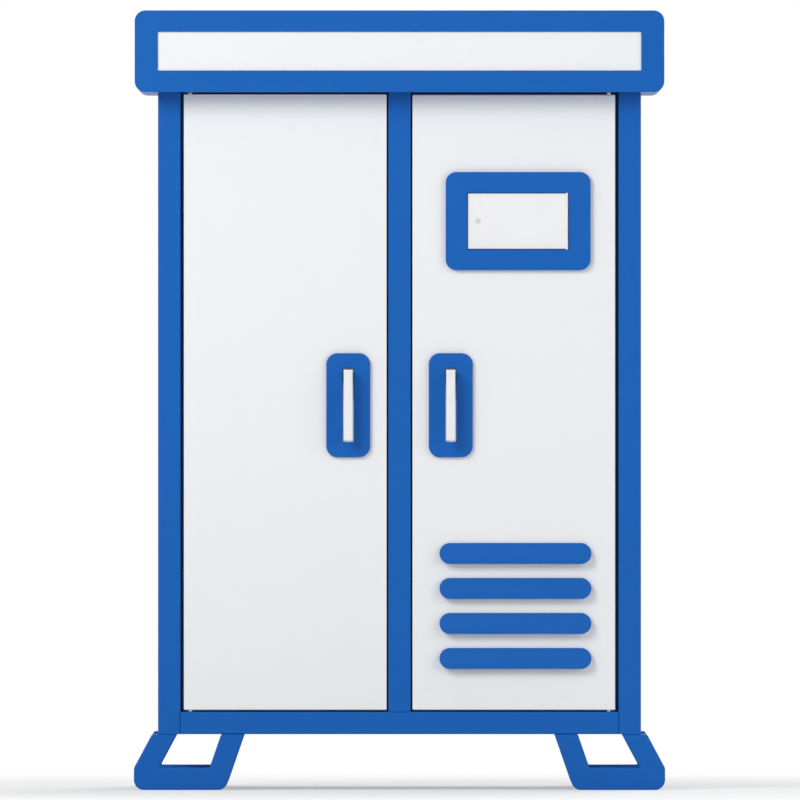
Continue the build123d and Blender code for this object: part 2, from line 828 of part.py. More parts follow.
def filter_frame():
    # A sheet frame that clips round the filter, with a lip that holds it in.
    wall = filter_frame_wall
    wide, high = filter_width + 2 * wall, filter_height + 2 * wall
    far = door_sheet + filter_depth + wall
    frame = cut_in(louvre_x, louvre_z, wide, high, door_sheet, far)
    frame -= cut_in(louvre_x, louvre_z, filter_width, filter_height,
                    door_sheet, far - wall)
    lap = 2 * filter_frame_lap
    return frame - cut_in(louvre_x, louvre_z, filter_width - lap, filter_height - lap,
                          far - wall, far)


# The flap and the switches behind it

flap_back = flap_lip_thickness + slide_gap
flap_front = flap_back + flap_sheet
flap_height = flap_opening_height - 2 * flap_gap
flap_left = flap_x - flap_opening_width / 2 + flap_gap
flap_hinge_x = flap_x + flap_opening_width / 2 - flap_gap - flap_barrel_radius
flap_hinge_out = flap_lip_thickness + slide_gap + flap_barrel_radius
lock_x = flap_left + lock_from_edge


def aperture_size():
    return (flap_opening_width - 2 * flap_lip, flap_opening_height - 2 * flap_lip)


def flap_barrel(height, radius):
    return Pos(flap_hinge_x, front - flap_hinge_out, flap_z) * Cylinder(radius, height)


def flap_frame():
    # A rounded surround with a thin lip that the flap shuts against. The ends of the
    # flap's barrel lie in two round-bottomed slots that are open to the door behind.
    outline = RectangleRounded(flap_frame_width, flap_frame_height, flap_frame_corner)
    ring = extrude(at_front(flap_x, flap_z) * outline, flap_frame_proud)
    ring -= cut_in(flap_x, flap_z, flap_opening_width, flap_opening_height,
                   -flap_frame_proud, -flap_lip_thickness)
    ring -= cut_in(flap_x, flap_z, *aperture_size(), -flap_lip_thickness, 0)
    bore = flap_barrel_radius + running
    for end in (-1, 1):
        z = flap_z + end * (flap_opening_height + flap_pin_length) / 2
        ring -= cut_in(flap_hinge_x, z, 2 * bore, flap_pin_length, -flap_hinge_out, 0)
    return ring - flap_barrel(flap_opening_height + 2 * flap_pin_length, bore)


def police_flap():
    # A plate with a rolled edge, whose ends turn in the frame.
    plate = cut_in((flap_left + flap_hinge_x) / 2, flap_z, flap_hinge_x - flap_left,
                   flap_height, -flap_front, -flap_back)
    barrel = flap_opening_height + 2 * (flap_pin_length - slide_gap)
    plate += flap_barrel(barrel, flap_barrel_radius)
    return plate - rod_in(lock_x, flap_z, lock_radius + running, -flap_front, -flap_back)


def flap_lock():
    # A quarter-turn lock: a slotted barrel through the flap and a cam behind it.
    head_out = flap_front + lock_head_proud
    cam_front = door_sheet + clearance
    barrel = rod_in(lock_x, flap_z, lock_radius, -head_out, cam_front + lock_cam_sheet)
    barrel -= cut_in(lock_x, flap_z, lock_slot_width, lock_slot_length,
                     -head_out, lock_slot_depth - head_out)
    middle = (lock_cam_length - lock_cam_width / 2) / 2
    cam = cut_in(lock_x, flap_z + middle, lock_cam_width,
                 lock_cam_length + lock_cam_width / 2, cam_front,
                 cam_front + lock_cam_sheet)
    return barrel + cam


def switch_plate_depth():
    return door_sheet + switch_box_depth - switch_box_wall


def switch_box():
    # A tray behind the flap, open to the front, with two openings in its back wall.
    width, height = aperture_size()
    wide = width + 2 * (switch_box_margin + switch_box_wall)
    high = height + 2 * (switch_box_margin + switch_box_wall)
    far = door_sheet + switch_box_depth
    plate = switch_plate_depth()
    box = cut_in(flap_x, flap_z, wide, high, door_sheet, far)
    box -= cut_in(flap_x, flap_z, wide - 2 * switch_box_wall,
                  high - 2 * switch_box_wall, door_sheet, plate)
    box -= cut_in(switch_x(0), flap_z, toggle_size + 2 * slide_gap, switch_slot, plate, far)
    hole = button_size + 2 * slide_gap
    return box - cut_in(switch_x(1), flap_z, hole, hole, plate, far)


def switch_x(place):
    return flap_x + (place - 0.5) * switch_distance


def heeled_lever(length, tip, thickness, heel):
    # The side of a tapered lever that ends in an arc about its pivot, at the origin.
    half = thickness / 2
    start = math.sqrt(heel ** 2 - half ** 2)
    sides = Polyline((start, half), (-length, tip / 2), (-length, -tip / 2), (start, -half))
    return make_face([sides, ThreePointArc((start, -half), (heel, 0), (start, half))])


def switch_toggle():
    # A tapered lever tilted up, pivoting in its slot in the back wall.
    outline = heeled_lever(toggle_front, toggle_tip, toggle_size, toggle_heel)
    bat = extrude(Plane.YZ * outline, toggle_size / 2, both=True)
    pivot = front + switch_plate_depth() + switch_box_wall / 2
    return Pos(switch_x(0), pivot, flap_z) * Rot(-toggle_tilt, 0, 0) * bat


def manual_button():
    # A push-button that slides in its opening.
    plate = switch_plate_depth()
    button = cut_in(switch_x(1), flap_z, button_size, button_size,
                    plate - button_length, plate + switch_box_wall)
    return chamfer(button.faces().sort_by(Axis.Y)[0].edges(), button_edge)


# Inside the cabinet

def floor_pan():
    pan = slab(-post_inner, post_inner, front + stop_back, back_panel_inner,
               sill_top, floor_top)
    return pan - slab(-gland_opening_width / 2, gland_opening_width / 2,
                      -gland_opening_depth / 2, gland_opening_depth / 2,
                      sill_top, floor_top)


def gland_plate():
    # The cover over the floor's opening, with a long slot for the cables.
    half_x = gland_opening_width / 2 + gland_lap
    half_y = gland_opening_depth / 2 + gland_lap
    plate = slab(-half_x, half_x, -half_y, half_y, floor_top, floor_top + gland_sheet)
    return plate - slab(-cable_slot_width / 2, cable_slot_width / 2,
                        -cable_slot_depth / 2, cable_slot_depth / 2,
                        floor_top, floor_top + gland_sheet)


def channel(length):
    # Lipped mounting channel along +Z: its back lies on the XZ plane, open to -Y.
    half, deep, wall = channel_width / 2, channel_depth, channel_sheet
    outer = Pos(0, -deep / 2) * Rectangle(2 * half, deep)
    hollow = Pos(0, -deep / 2) * Rectangle(2 * (half - wall), deep - 2 * wall)
    mouth = Pos(0, wall / 2 - deep) * Rectangle(2 * (half - channel_lip), wall)
    return extrude(outer - hollow - mouth, length)


def mounting_channels():
    side_length, back_length = roof_bottom - sill_top, roof_bottom - floor_top
    found = []
    for end in (-1, 1):
        for y in (-side_channel_y, side_channel_y):
            turn = Pos(end * side_panel_inner, y, sill_top) * Rot(0, 0, -90 * end)
            found.append(turn * channel(side_length))
        found.append(Pos(end * back_channel_x, back_panel_inner, floor_top)
                     * channel(back_length))
    return found


def shelf(z):
    # A sheet shelf between the side channels with its front and back turned down.
    sheet, drop = shelf_sheet, shelf_flange
    points = [(shelf_front, z), (shelf_back, z), (shelf_back, z - drop),
              (shelf_back - sheet, z - drop), (shelf_back - sheet, z - sheet),
              (shelf_front + sheet, z - sheet), (shelf_front + sheet, z - drop),
              (shelf_front, z - drop)]
    return extrude(Plane.YZ * polygon(points), shelf_half, both=True)


def document_pouch():
    near, far = stiffener_depth, stiffener_depth + pouch_depth
    middle = pouch_z + pouch_height / 2
    pouch = cut_in(pouch_x, middle, pouch_width, pouch_height, near, far)
    return pouch - cut_in(pouch_x, middle + pouch_wall, pouch_width - 2 * pouch_wall,
                          pouch_height, near + pouch_wall, far - pouch_wall)


def cabinet_lamp():
    # A lamp with a bevelled underside, under the front of the ceiling.
    y = front + tube + lamp_width / 2
    outline = Pos(y, rail_top - lamp_height / 2) * Rectangle(lamp_width, lamp_height)
    low = outline.vertices().group_by(Axis.Y)[0]
    return extrude(Plane.YZ * chamfer(low, lamp_edge), lamp_length / 2, both=True)


def fan_floor():
    return rail_top + panel_sheet


def fan_housing():
    # A square fan frame with a round duct, and a bar over it that carries the motor.
    low = (Align.CENTER, Align.CENTER, Align.MIN)
    frame = Box(fan_size, fan_size, fan_height, align=low)
    frame -= Cylinder(fan_bore, fan_height, align=low)
    bar = Box(fan_size, 2 * fan_bar, fan_bar, align=low)
    return Pos(0, 0, fan_floor()) * (frame + Pos(0, 0, fan_height - fan_bar) * bar)


def fan_rotor():
    # The motor's turning hub with its pitched blades, hanging under the bar.
    low = (Align.CENTER, Align.CENTER, Align.MIN)
    reach = fan_bore - fan_tip_gap - fan_hub
    blade = Box(reach + root_lap, rotor_height, blade_sheet,
                align=(Align.MIN, Align.CENTER, Align.CENTER))
    turned = Rot(blade_pitch, 0, 0) * blade
    blade = Pos(fan_hub - root_lap, 0, rotor_height / 2) * turned
    hub = Cylinder(fan_hub, rotor_height, align=low)
    for i in range(fan_blades):
        hub += Rot(0, 0, 360 * i / fan_blades) * blade
    top = fan_floor() + fan_height - fan_bar - slide_gap
    return Pos(0, 0, top - rotor_height) * hub


# Equipment

def housing(x, z, width, height, depth):
    # An equipment housing on a shelf, open at the back, with its front panel.
    y0 = shelf_front + front_panel_edge
    y1 = y0 + depth
    box = slab(x - width / 2, x + width / 2, y0, y1, z, z + height)
    inner = slab(x - width / 2 + unit_wall, x + width / 2 - unit_wall,
                 y0 + unit_wall, y1, z + unit_wall, z + height - unit_wall)
    edge = front_panel_edge
    panel = slab(x - width / 2 - edge, x + width / 2 + edge, y0 - front_panel, y0,
                 z, z + height + edge)
    return box - inner + panel


def panel_face():
    # The outside of the front panels.
    return shelf_front + front_panel_edge - front_panel


def panel_bar(x, z, width, height, out):
    # A bar standing out of the front panels, or into them where out is negative.
    y = panel_face()
    y0, y1 = min(y - out, y), max(y - out, y)
    return slab(x - width / 2, x + width / 2, y0, y1, z - height / 2, z + height / 2)


def controller_unit():
    # The upright front carries a recessed screen and a raised key field.
    z = upper_shelf_z
    unit = housing(controller_x, z, controller_width, controller_height, controller_depth)
    unit -= panel_bar(controller_x + screen_x, z + screen_up, screen_width, screen_height,
                      -screen_recess)
    return unit + panel_bar(controller_x + keys_x, z + screen_up, keys_width, keys_height,
                            keys_proud)


def conflict_monitor():
    z = upper_shelf_z
    unit = housing(monitor_x, z, monitor_width, controller_height, controller_depth)
    return unit - panel_bar(monitor_x, z + screen_up, monitor_screen_width,
                            monitor_screen_height, -screen_recess)


def detector_rack():
    # A card cage: two decks and two cheeks, open in front.
    z = lower_shelf_z
    y0 = shelf_front + front_panel_edge
    x0, x1 = rack_x - rack_width / 2, rack_x + rack_width / 2
    cage = slab(x0, x1, y0, y0 + rack_depth, z, z + rack_height)
    return cage - slab(x0 + unit_wall, x1 - unit_wall, y0, y0 + rack_depth - unit_wall,
                       z + unit_wall, z + rack_height - unit_wall)


def detector_cards():
    # Plug-in cards standing side by side, each a board with its face plate.
    z = lower_shelf_z + unit_wall
    y0 = shelf_front + front_panel_edge
    pitch = (rack_width - 2 * unit_wall) / card_count
    found = []
    for i in range(card_count):
        x = rack_x + (i - (card_count - 1) / 2) * pitch
        card = slab(x - card_width / 2, x + card_width / 2, y0, y0 + card_face,
                    z, z + card_height)
        card += slab(x - card_board / 2, x + card_board / 2, y0, y0 + card_depth,
                     z, z + card_height)
        found.append(card)
    return found


def breaker_x(place):
    return power_x + breaker_first_x + place * breaker_spacing


breaker_z = lower_shelf_z + power_height / 2


def power_unit():
    z = lower_shelf_z
    unit = housing(power_x, z, power_width, power_height, power_depth)
    return unit + panel_bar(power_x + outlet_x, breaker_z, outlet_width, outlet_height,
                            outlet_proud)


def circuit_breakers():
    # Three breaker blocks on the panel, each with a slot for its rocker.
    found = []
    for i in range(breaker_count):
        block = panel_bar(breaker_x(i), breaker_z, breaker_width, breaker_height,
                          breaker_depth)
        y = panel_face() - breaker_depth
        slot = slab(breaker_x(i) - toggle_slot_width / 2, breaker_x(i) + toggle_slot_width / 2,
                    y, y + toggle_slot_depth, breaker_z - toggle_slot_height / 2,
                    breaker_z + toggle_slot_height / 2)
        found.append(block - slot)
    return found


def breaker_pivot_y():
    return panel_face() - breaker_depth + toggle_slot_depth - rocker_heel - slide_gap


def breaker_toggle(place):
    # A tapered handle leaning up from its pivot in the block's slot.
    outline = heeled_lever(rocker_length, rocker_tip, rocker_root, rocker_heel)
    width = toggle_slot_width / 2 - slide_gap
    body = extrude(Plane.YZ * outline, width, both=True)
    return Pos(breaker_x(place), breaker_pivot_y(), breaker_z) * Rot(-rocker_tilt, 0, 0) * body


def main_panel():
    # The plate on the back channels, with a shelf that the load switches plug into.
    half, y = main_panel_width / 2, main_panel_front
    plate = slab(-half, half, y, y + main_panel_sheet, main_panel_bottom, main_panel_top)
    bay = slab(-half, half, y - bay_depth, y, bay_z, bay_z + main_panel_sheet)
    lip = slab(-half, half, y - bay_depth, y - bay_depth + main_panel_sheet,
               bay_z - bay_lip, bay_z)
    return plate + bay + lip


def load_switches():
    # Plug-in switch modules standing side by side on the bay.
    z = bay_z + main_panel_sheet
    y1 = main_panel_front
    found = []
    for i in range(switch_count):
        x = (i - (switch_count - 1) / 2) * switch_spacing
        found.append(slab(x - switch_width / 2, x + switch_width / 2,
                          y1 - switch_depth, y1, z, z + switch_height))
    return found


def flash_relays():
    y1 = main_panel_front
    found = []
    for i in range(relay_count):
        x = fitting_half - relay_size / 2 - i * relay_spacing
        z = main_panel_bottom + relay_up
        relay = slab(x - relay_size / 2, x + relay_size / 2, y1 - relay_height, y1,
                     z - relay_size / 2, z + relay_size / 2)
        found.append(relay)
    return found


def terminal_strip(z):
    # A barrier strip: a base with a thin wall between each pair of screw bays.
    length = strip_poles * strip_pole_pitch + barrier
    start = -fitting_half
    y1 = main_panel_front
    mid = y1 - strip_bed
    tip = y1 - strip_depth
    points = [(start, y1)]
    for i in range(strip_poles + 1):
        x = start + i * strip_pole_pitch
        points += [(x, mid), (x, tip), (x + barrier, tip), (x + barrier, mid)]
    points[1] = (start, tip)
    points[2] = (start + barrier, tip)
    del points[3]
    points[-1] = (start + length, tip)
    points.append((start + length, y1))
    outline = [p for i, p in enumerate(points) if i == 0 or p != points[i - 1]]
    return Pos(0, 0, z - strip_height / 2) * extrude(polygon(outline), strip_height)


def bus_bars():
    # Neutral and earth bars on the lower right of the main panel.
    found = []
    for i in range(bus_bar_count):
        z = main_panel_bottom + bus_bar_first + i * bus_bar_spacing
        found.append(slab(bus_bar_from_middle, fitting_half,
                          main_panel_front - bus_bar_thickness, main_panel_front,
                          z, z + bus_bar_height))
    return found


def main():
    os.makedirs("parts", exist_ok=True)
    save("corner_posts", *corner_posts())
    save("ring_rails", *ring_rails())
    save("mullion", mullion())
    save("door_stops", *door_stops())
    seal = door_seal()
    save("door_seals", seal, mirrored(seal))
    panel = side_panel()
    save("side_panels", panel, mirrored(panel))
    save("back_panel", back_panel())

    rear_foot = foot()
    front_foot = mirror(rear_foot, about=Plane.XZ)
    save("feet", rear_foot, front_foot, mirrored(rear_foot), mirrored(front_foot))

    cavity = roof_cavity()
    save("roof_shell", roof_shell(cavity))
    save("roof_fascia", *roof_fascia(cavity))
    save("ceiling_plate", ceiling_plate())

    pan, hats = door_pan(), stiffeners()
    save("left_door", mirrored(pan), *[mirrored(hat) for hat in hats])
    for z in louvre_heights():
        pan -= cut_in(louvre_x, z, louvre_slot_width, louvre_slot_height, 0, door_sheet)
    pan -= cut_in(flap_x, flap_z, *aperture_size(), 0, door_sheet)
    save("right_door", pan, *hats)

    pins = hinge_pins()
    save("hinge_pins", *pins, *[mirrored(pin) for pin in pins])
    blocks = hinge_blocks()
    save("right_hinge_blocks", *blocks)
    save("left_hinge_blocks", *[mirrored(block) for block in blocks])

    latch = [latch_frame(), *rod_guides()]
    right = {"handle_plate": [handle_plate()], "lever": [lever()], "pinion": [pinion()],
             "latch_frame": latch, "top_rod": [rack_rod(1)], "bottom_rod": [rack_rod(-1)]}
    for name, pieces in right.items():
        save(f"right_{name}", *pieces)
        save(f"left_{name}", *[mirrored(piece) for piece in pieces])

    save("louvre_hoods", *[louvre_hood(z) for z in louvre_heights()])
    save("air_filter", air_filter())
    save("filter_frame", filter_frame())
    save("flap_frame", flap_frame())
    save("police_flap", police_flap())
    save("flap_lock", flap_lock())
    save("switch_box", switch_box())
    save("switch_toggle", switch_toggle())
    save("manual_button", manual_button())

    save("floor_pan", floor_pan())
    save("gland_plate", gland_plate())
    save("mounting_channels", *mounting_channels())
    save("shelves", shelf(upper_shelf_z), shelf(lower_shelf_z))
    save("document_pouch", document_pouch())
    save("cabinet_lamp", cabinet_lamp())
    save("fan_housing", fan_housing())
    save("fan_rotor", fan_rotor())

    save("controller_unit", controller_unit())
    save("conflict_monitor", conflict_monitor())
    save("detector_rack", detector_rack())
    save("detector_cards", *detector_cards())
    save("power_unit", power_unit())
    save("circuit_breakers", *circuit_breakers())
    for place, name in enumerate(("main_toggle", "branch_toggle_1", "branch_toggle_2")):
        save(name, breaker_toggle(place))
    save("main_panel", main_panel())
    save("load_switches", *load_switches())
    save("flash_relays", *flash_relays())
    strips = [terminal_strip(main_panel_bottom + strip_first + i * strip_spacing)
              for i in range(strip_count)]
    save("terminal_strips", *strips)
    save("bus_bars", *bus_bars())


if __name__ == "__main__":
    main()
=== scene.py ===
import json
import math
import bmesh
import bpy
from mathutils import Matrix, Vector


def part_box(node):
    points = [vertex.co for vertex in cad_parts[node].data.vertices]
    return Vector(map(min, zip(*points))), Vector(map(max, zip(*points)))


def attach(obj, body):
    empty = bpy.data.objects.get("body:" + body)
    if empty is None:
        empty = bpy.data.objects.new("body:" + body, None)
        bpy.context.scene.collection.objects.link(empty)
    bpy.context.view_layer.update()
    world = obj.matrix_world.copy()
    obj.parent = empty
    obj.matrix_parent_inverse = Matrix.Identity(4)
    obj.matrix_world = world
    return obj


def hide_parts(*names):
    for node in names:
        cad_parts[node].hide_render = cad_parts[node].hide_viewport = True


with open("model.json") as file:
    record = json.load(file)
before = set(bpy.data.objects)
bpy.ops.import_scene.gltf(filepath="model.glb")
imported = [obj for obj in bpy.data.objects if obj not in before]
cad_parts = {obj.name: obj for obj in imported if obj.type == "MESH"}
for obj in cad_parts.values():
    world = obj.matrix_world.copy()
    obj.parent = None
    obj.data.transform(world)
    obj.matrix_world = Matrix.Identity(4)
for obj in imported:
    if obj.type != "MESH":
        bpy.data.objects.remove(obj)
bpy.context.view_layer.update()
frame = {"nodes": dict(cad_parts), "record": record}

# Looks of a roadside cabinet: painted steel outside, plated and mill-finish parts inside.
# Lengths are in metres where no note says millimetres, and each piece takes its place from
# the solids of the frame.

record = frame["record"]
bodyOf = {node: body for body, held in record["behaviour"]["bodies"].items() for node in held}
slotOf = {part["node"]: part["material_slot"] for part in record["subparts"]}
mm = 0.001
quarterTurn = math.radians(90)
facing = {  # turns of a fitting that is modelled facing the front
    "front": (0, 0, 0), "back": (0, 0, 2 * quarterTurn), "left": (0, 0, -quarterTurn),
    "right": (0, 0, quarterTurn), "up": (-quarterTurn, 0, 0), "down": (quarterTurn, 0, 0),
}


# Shader building

class Wire:
    # One output of a node, so that maths on it reads as an expression.
    def __init__(self, nodes, socket):
        self.nodes = nodes
        self.socket = socket

    def maths(self, operation, first, second):
        return self.nodes.add("ShaderNodeMath", {"operation": operation},
                              {0: first, 1: second})

    def __add__(self, other):
        return self.maths("ADD", self, other)

    def __radd__(self, other):
        return self.maths("ADD", other, self)

    def __mul__(self, other):
        return self.maths("MULTIPLY", self, other)

    def __rmul__(self, other):
        return self.maths("MULTIPLY", other, self)


class Nodes:
    # The nodes of a material or of the world, and the surface socket they end in.
    def __init__(self, tree, ending):
        self.tree = tree
        tree.nodes.clear()
        self.surface = tree.nodes.new(ending).inputs["Surface"]

    def put(self, socket, value):
        if isinstance(value, Wire):
            self.tree.links.new(value.socket, socket)
        else:
            socket.default_value = value

    def add(self, kind, settings=None, sockets=None, output=0):
        node = self.tree.nodes.new(kind)
        for key, value in (settings or {}).items():
            setattr(node, key, value)
        for key, value in (sockets or {}).items():
            self.put(node.inputs[key], value)
        return Wire(self, node.outputs[output])

    def seen(self):
        # The rays that show the background: straight, off a gloss, or through glass.
        straight, gloss, glass = [self.add("ShaderNodeLightPath", output=f"Is {kind} Ray")
                                  for kind in ("Camera", "Glossy", "Transmission")]
        return straight + gloss + glass

    def mixed(self, factor, first, second):
        return self.add("ShaderNodeMixShader", None, {0: factor, 1: first, 2: second})


class Finish(Nodes):
    # A material with one Principled shader, its constants set on the shader itself.
    def __init__(self, name, constants=None):
        self.material = bpy.data.materials.new(name)
        self.material.use_nodes = True
        super().__init__(self.material.node_tree, "ShaderNodeOutputMaterial")
        self.shader = self.tree.nodes.new("ShaderNodeBsdfPrincipled")
        self.coat = Wire(self, self.shader.outputs[0])
        self.put(self.surface, self.coat)
        for socket, value in (constants or {}).items():
            self.drive(socket, value)

    def drive(self, socket, value):
        self.put(self.shader.inputs[socket], value)

    def where(self, scale=(1, 1, 1)):
        place = self.add("ShaderNodeTexCoord", output="Object")
        return self.add("ShaderNodeMapping", None, {"Vector": place, "Scale": scale})

    def noise(self, where, scale, detail=3.0):
        return self.add("ShaderNodeTexNoise", None,
                        {"Vector": where, "Scale": scale, "Detail": detail})

    def cells(self, scale):
        return self.add("ShaderNodeTexVoronoi", None, {"Vector": self.where(), "Scale": scale})

    def lay(self, colour, shades, pattern, roughness, relief, depth):
        # Two shades of a colour by a pattern, then the roughness, and a relief that is
        # this many millimetres deep.
        darker, lighter = [(*(min(1.0, part * share) for part in colour), 1)
                           for share in shades]
        self.drive("Base Color", self.add("ShaderNodeMix", {"data_type": "RGBA"},
                                          {0: pattern, 6: darker, 7: lighter}, output=2))
        self.drive("Roughness", roughness)
        self.drive("Normal", self.add("ShaderNodeBump", None,
                                      {"Height": relief, "Distance": depth * mm}))
        return self


grain = {  # how fine the patterns are, in repeats to the metre
    "drift": 3.0, "cloud": 28.0, "peel": 650.0, "crystals": 160.0, "smear": 9.0,
    "eroded": 900.0, "sink": 22.0, "pores": 420.0, "tarnish": 55.0,
    "drawn": (30, 30, 900), "rolled": (4, 260, 260),
    "long strands": (60, 60, 1400), "cross strands": (1400, 60, 60),
}


def powderCoat(name, colour, roughness, uneven, gloss=0.35):
    # Baked paint: fine orange peel, with a slow drift in colour and gloss.
    coat = Finish(name, {"Specular IOR Level": gloss})
    where = coat.where()
    drift = coat.noise(where, grain["drift"])
    cloud = coat.noise(where, grain["cloud"])
    peel = coat.noise(where, grain["peel"], 2.0)
    return coat.lay(colour, (1 - uneven, 1 + uneven), drift * 0.6 + cloud * 0.4,
                    roughness - 0.09 + cloud * 0.1 + peel * 0.08, peel, 0.06)


def platedSteel(name, colour, roughness):
    # Zinc plate: bright, with soft cloudy crystals and fine draw lines.
    plate = Finish(name, {"Metallic": 1.0})
    crystals = plate.cells(grain["crystals"])
    drawn = plate.noise(plate.where(grain["drawn"]), 1.0)
    return plate.lay(colour, (0.86, 1.08), crystals,
                     roughness - 0.1 + crystals * 0.12 + drawn * 0.12, drawn, 0.04)


def rolledSheet(name, colour, roughness):
    # Mill-finish sheet with its rolling lines along one direction.
    sheet = Finish(name, {"Metallic": 1.0})
    lines = sheet.noise(sheet.where(grain["rolled"]), 1.0, 5.0)
    smear = sheet.noise(sheet.where(), grain["smear"])
    return sheet.lay(colour, (0.88, 1.08), lines,
                     roughness - 0.1 + lines * 0.12 + smear * 0.1, lines, 0.03)


def mouldedPlastic(name, colour, roughness, constants=None):
    # Moulded plastic with a fine eroded grain.
    plastic = Finish(name, constants)
    eroded = plastic.cells(grain["eroded"])
    sink = plastic.noise(plastic.where(), grain["sink"])
    return plastic.lay(colour, (0.88, 1.12), sink,
                       roughness - 0.05 + sink * 0.06 + eroded * 0.08, eroded, 0.05)


def foamRubber(name, colour):
    foam = Finish(name, {"Specular IOR Level": 0.3})
    pores = foam.cells(grain["pores"])
    return foam.lay(colour, (0.6, 1.5), pores, 0.82 + pores * 0.12, pores, 0.25)


def pleatedFibre(name, colour):
    # Needled fibre: crossed fine strands with grey dust in the folds.
    fibre = Finish(name, {"Specular IOR Level": 0.2})
    strands = fibre.noise(fibre.where(grain["long strands"]), 1.0) \
        * fibre.noise(fibre.where(grain["cross strands"]), 1.0) * 2.2
    return fibre.lay(colour, (0.66, 1.1), strands, 0.85 + strands * 0.1, strands, 0.3)


def castBrass(name, colour):
    brass = Finish(name, {"Metallic": 1.0})
    tarnish = brass.noise(brass.where(), grain["tarnish"])
    return brass.lay(colour, (0.62, 1.12), tarnish, 0.26 + tarnish * 0.18, tarnish, 0.05)


paints = {
    "blue": (0.0030, 0.1115, 0.4430),
    "white": (0.84, 0.845, 0.85),
    "lever": (0.82, 0.825, 0.83),
    "grey": (0.30, 0.325, 0.345),
    "dark": (0.050, 0.054, 0.060),
    "zinc": (0.64, 0.655, 0.67),
    "aluminium": (0.66, 0.665, 0.675),
    "blackPlastic": (0.019, 0.019, 0.021),
    "greyPlastic": (0.23, 0.245, 0.26),
    "frosted": (0.86, 0.87, 0.85),
    "rubber": (0.018, 0.018, 0.019),
    "fibre": (0.66, 0.66, 0.61),
    "brass": (0.72, 0.53, 0.23),
    "red": (0.50, 0.022, 0.016),
    "amber": (0.62, 0.24, 0.012),
    "green": (0.015, 0.30, 0.07),
    "display": (0.10, 0.135, 0.095),
    "ivory": (0.70, 0.67, 0.58),
}

finishes = {
    "blue_coat": powderCoat("blueCoat", paints["blue"], 0.40, 0.05, 0.21),
    "white_coat": powderCoat("whiteCoat", paints["white"], 0.40, 0.015),
    "lever_white": powderCoat("leverCoat", paints["lever"], 0.30, 0.015),
    "zinc": platedSteel("zincPlate", paints["zinc"], 0.36),
    "sheet_aluminium": rolledSheet("millAluminium", paints["aluminium"], 0.40),
    "grey_case": powderCoat("greyEnamel", paints["grey"], 0.46, 0.04),
    "dark_case": powderCoat("darkEnamel", paints["dark"], 0.44, 0.06),
    "black_plastic": mouldedPlastic("blackPlastic", paints["blackPlastic"], 0.48),
    "grey_plastic": mouldedPlastic("greyPlastic", paints["greyPlastic"], 0.48),
    "clear_plastic": mouldedPlastic("frostedPlastic", paints["frosted"], 0.30,
                                    {"Transmission Weight": 0.55, "IOR": 1.49}),
    "seal_rubber": foamRubber("foamRubber", paints["rubber"]),
    "filter_media": pleatedFibre("filterFibre", paints["fibre"]),
    "brass_bar": castBrass("bareBrass", paints["brass"]),
    "red_plastic": mouldedPlastic("redPlastic", paints["red"], 0.36),
}
redLens, amberLens, greenLens = [
    mouldedPlastic(f"{colour}Lens", paints[colour], 0.16, {"Coat Weight": 0.6})
    for colour in ("red", "amber", "green")]
displayGlass = mouldedPlastic("displayGlass", paints["display"], 0.10, {"Coat Weight": 0.8})
ivoryPlastic = mouldedPlastic("ivoryPlastic", paints["ivory"], 0.40)
print("finishes made:", len(bpy.data.materials))


# Modelling helpers

limits = {  # how near two points are one, and the angles of flat, sharp and smooth edges
    "merge": 0.005 * mm, "same side": 0.01 * mm, "flat": math.radians(0.6),
    "sharp": math.radians(28), "smooth": math.radians(38),
}


def dropSelection():
    if bpy.context.object and bpy.context.object.mode != "OBJECT":
        bpy.ops.object.mode_set(mode="OBJECT")
    bpy.ops.object.select_all(action="DESELECT")


def choose(*pieces):
    dropSelection()
    for piece in pieces:
        piece.select_set(True)
    bpy.context.view_layer.objects.active = pieces[0]


def discard(piece):
    bpy.data.objects.remove(piece, do_unlink=True)


def placed(*pieces):
    # Puts the places and turns of the pieces into their meshes.
    choose(*pieces)
    bpy.ops.object.transform_apply(location=True, rotation=True, scale=True)
    return pieces[0]


def joined(*pieces):
    # Makes one piece of several.
    placed(*pieces)
    if len(pieces) > 1:
        bpy.ops.object.join()
    return pieces[0]


def intoEdit(piece, kind="FACE"):
    choose(piece)
    bpy.ops.object.mode_set(mode="EDIT")
    bpy.ops.mesh.select_mode(type=kind)


def outOfEdit():
    bpy.ops.object.mode_set(mode="OBJECT")


def pickFaces(piece, test):
    # Selects the faces whose middle and normal pass the test.
    bpy.ops.mesh.select_all(action="DESELECT")
    shape = bmesh.from_edit_mesh(piece.data)
    for face in shape.faces:
        face.select_set(test(face.calc_center_median(), face.normal))
    shape.select_flush_mode()
    bmesh.update_edit_mesh(piece.data)


def facesFront(middle, normal):
    return normal.y < -0.9


def pickFront(piece):
    intoEdit(piece)
    pickFaces(piece, facesFront)


def pushOut(distance):
    bpy.ops.mesh.extrude_region_move(TRANSFORM_OT_translate={"value": (0, -distance, 0)})


def terrace(inset, out):
    # Insets the picked face and moves it out, or back in.
    bpy.ops.mesh.inset(thickness=inset)
    bpy.ops.transform.translate(value=(0, -out, 0))


def recess(rim, depth):
    # Sinks the picked face, with a rim left round it.
    bpy.ops.mesh.inset(thickness=rim)
    pushOut(-depth)


def twin(source, name):
    # A copy with its own mesh, riding on nothing yet.
    made = source.copy()
    made.data = source.data.copy()
    made.name = made.data.name = name
    made.parent = None
    made.data.transform(source.matrix_world)
    made.matrix_world.identity()
    bpy.context.collection.objects.link(made)
    return made


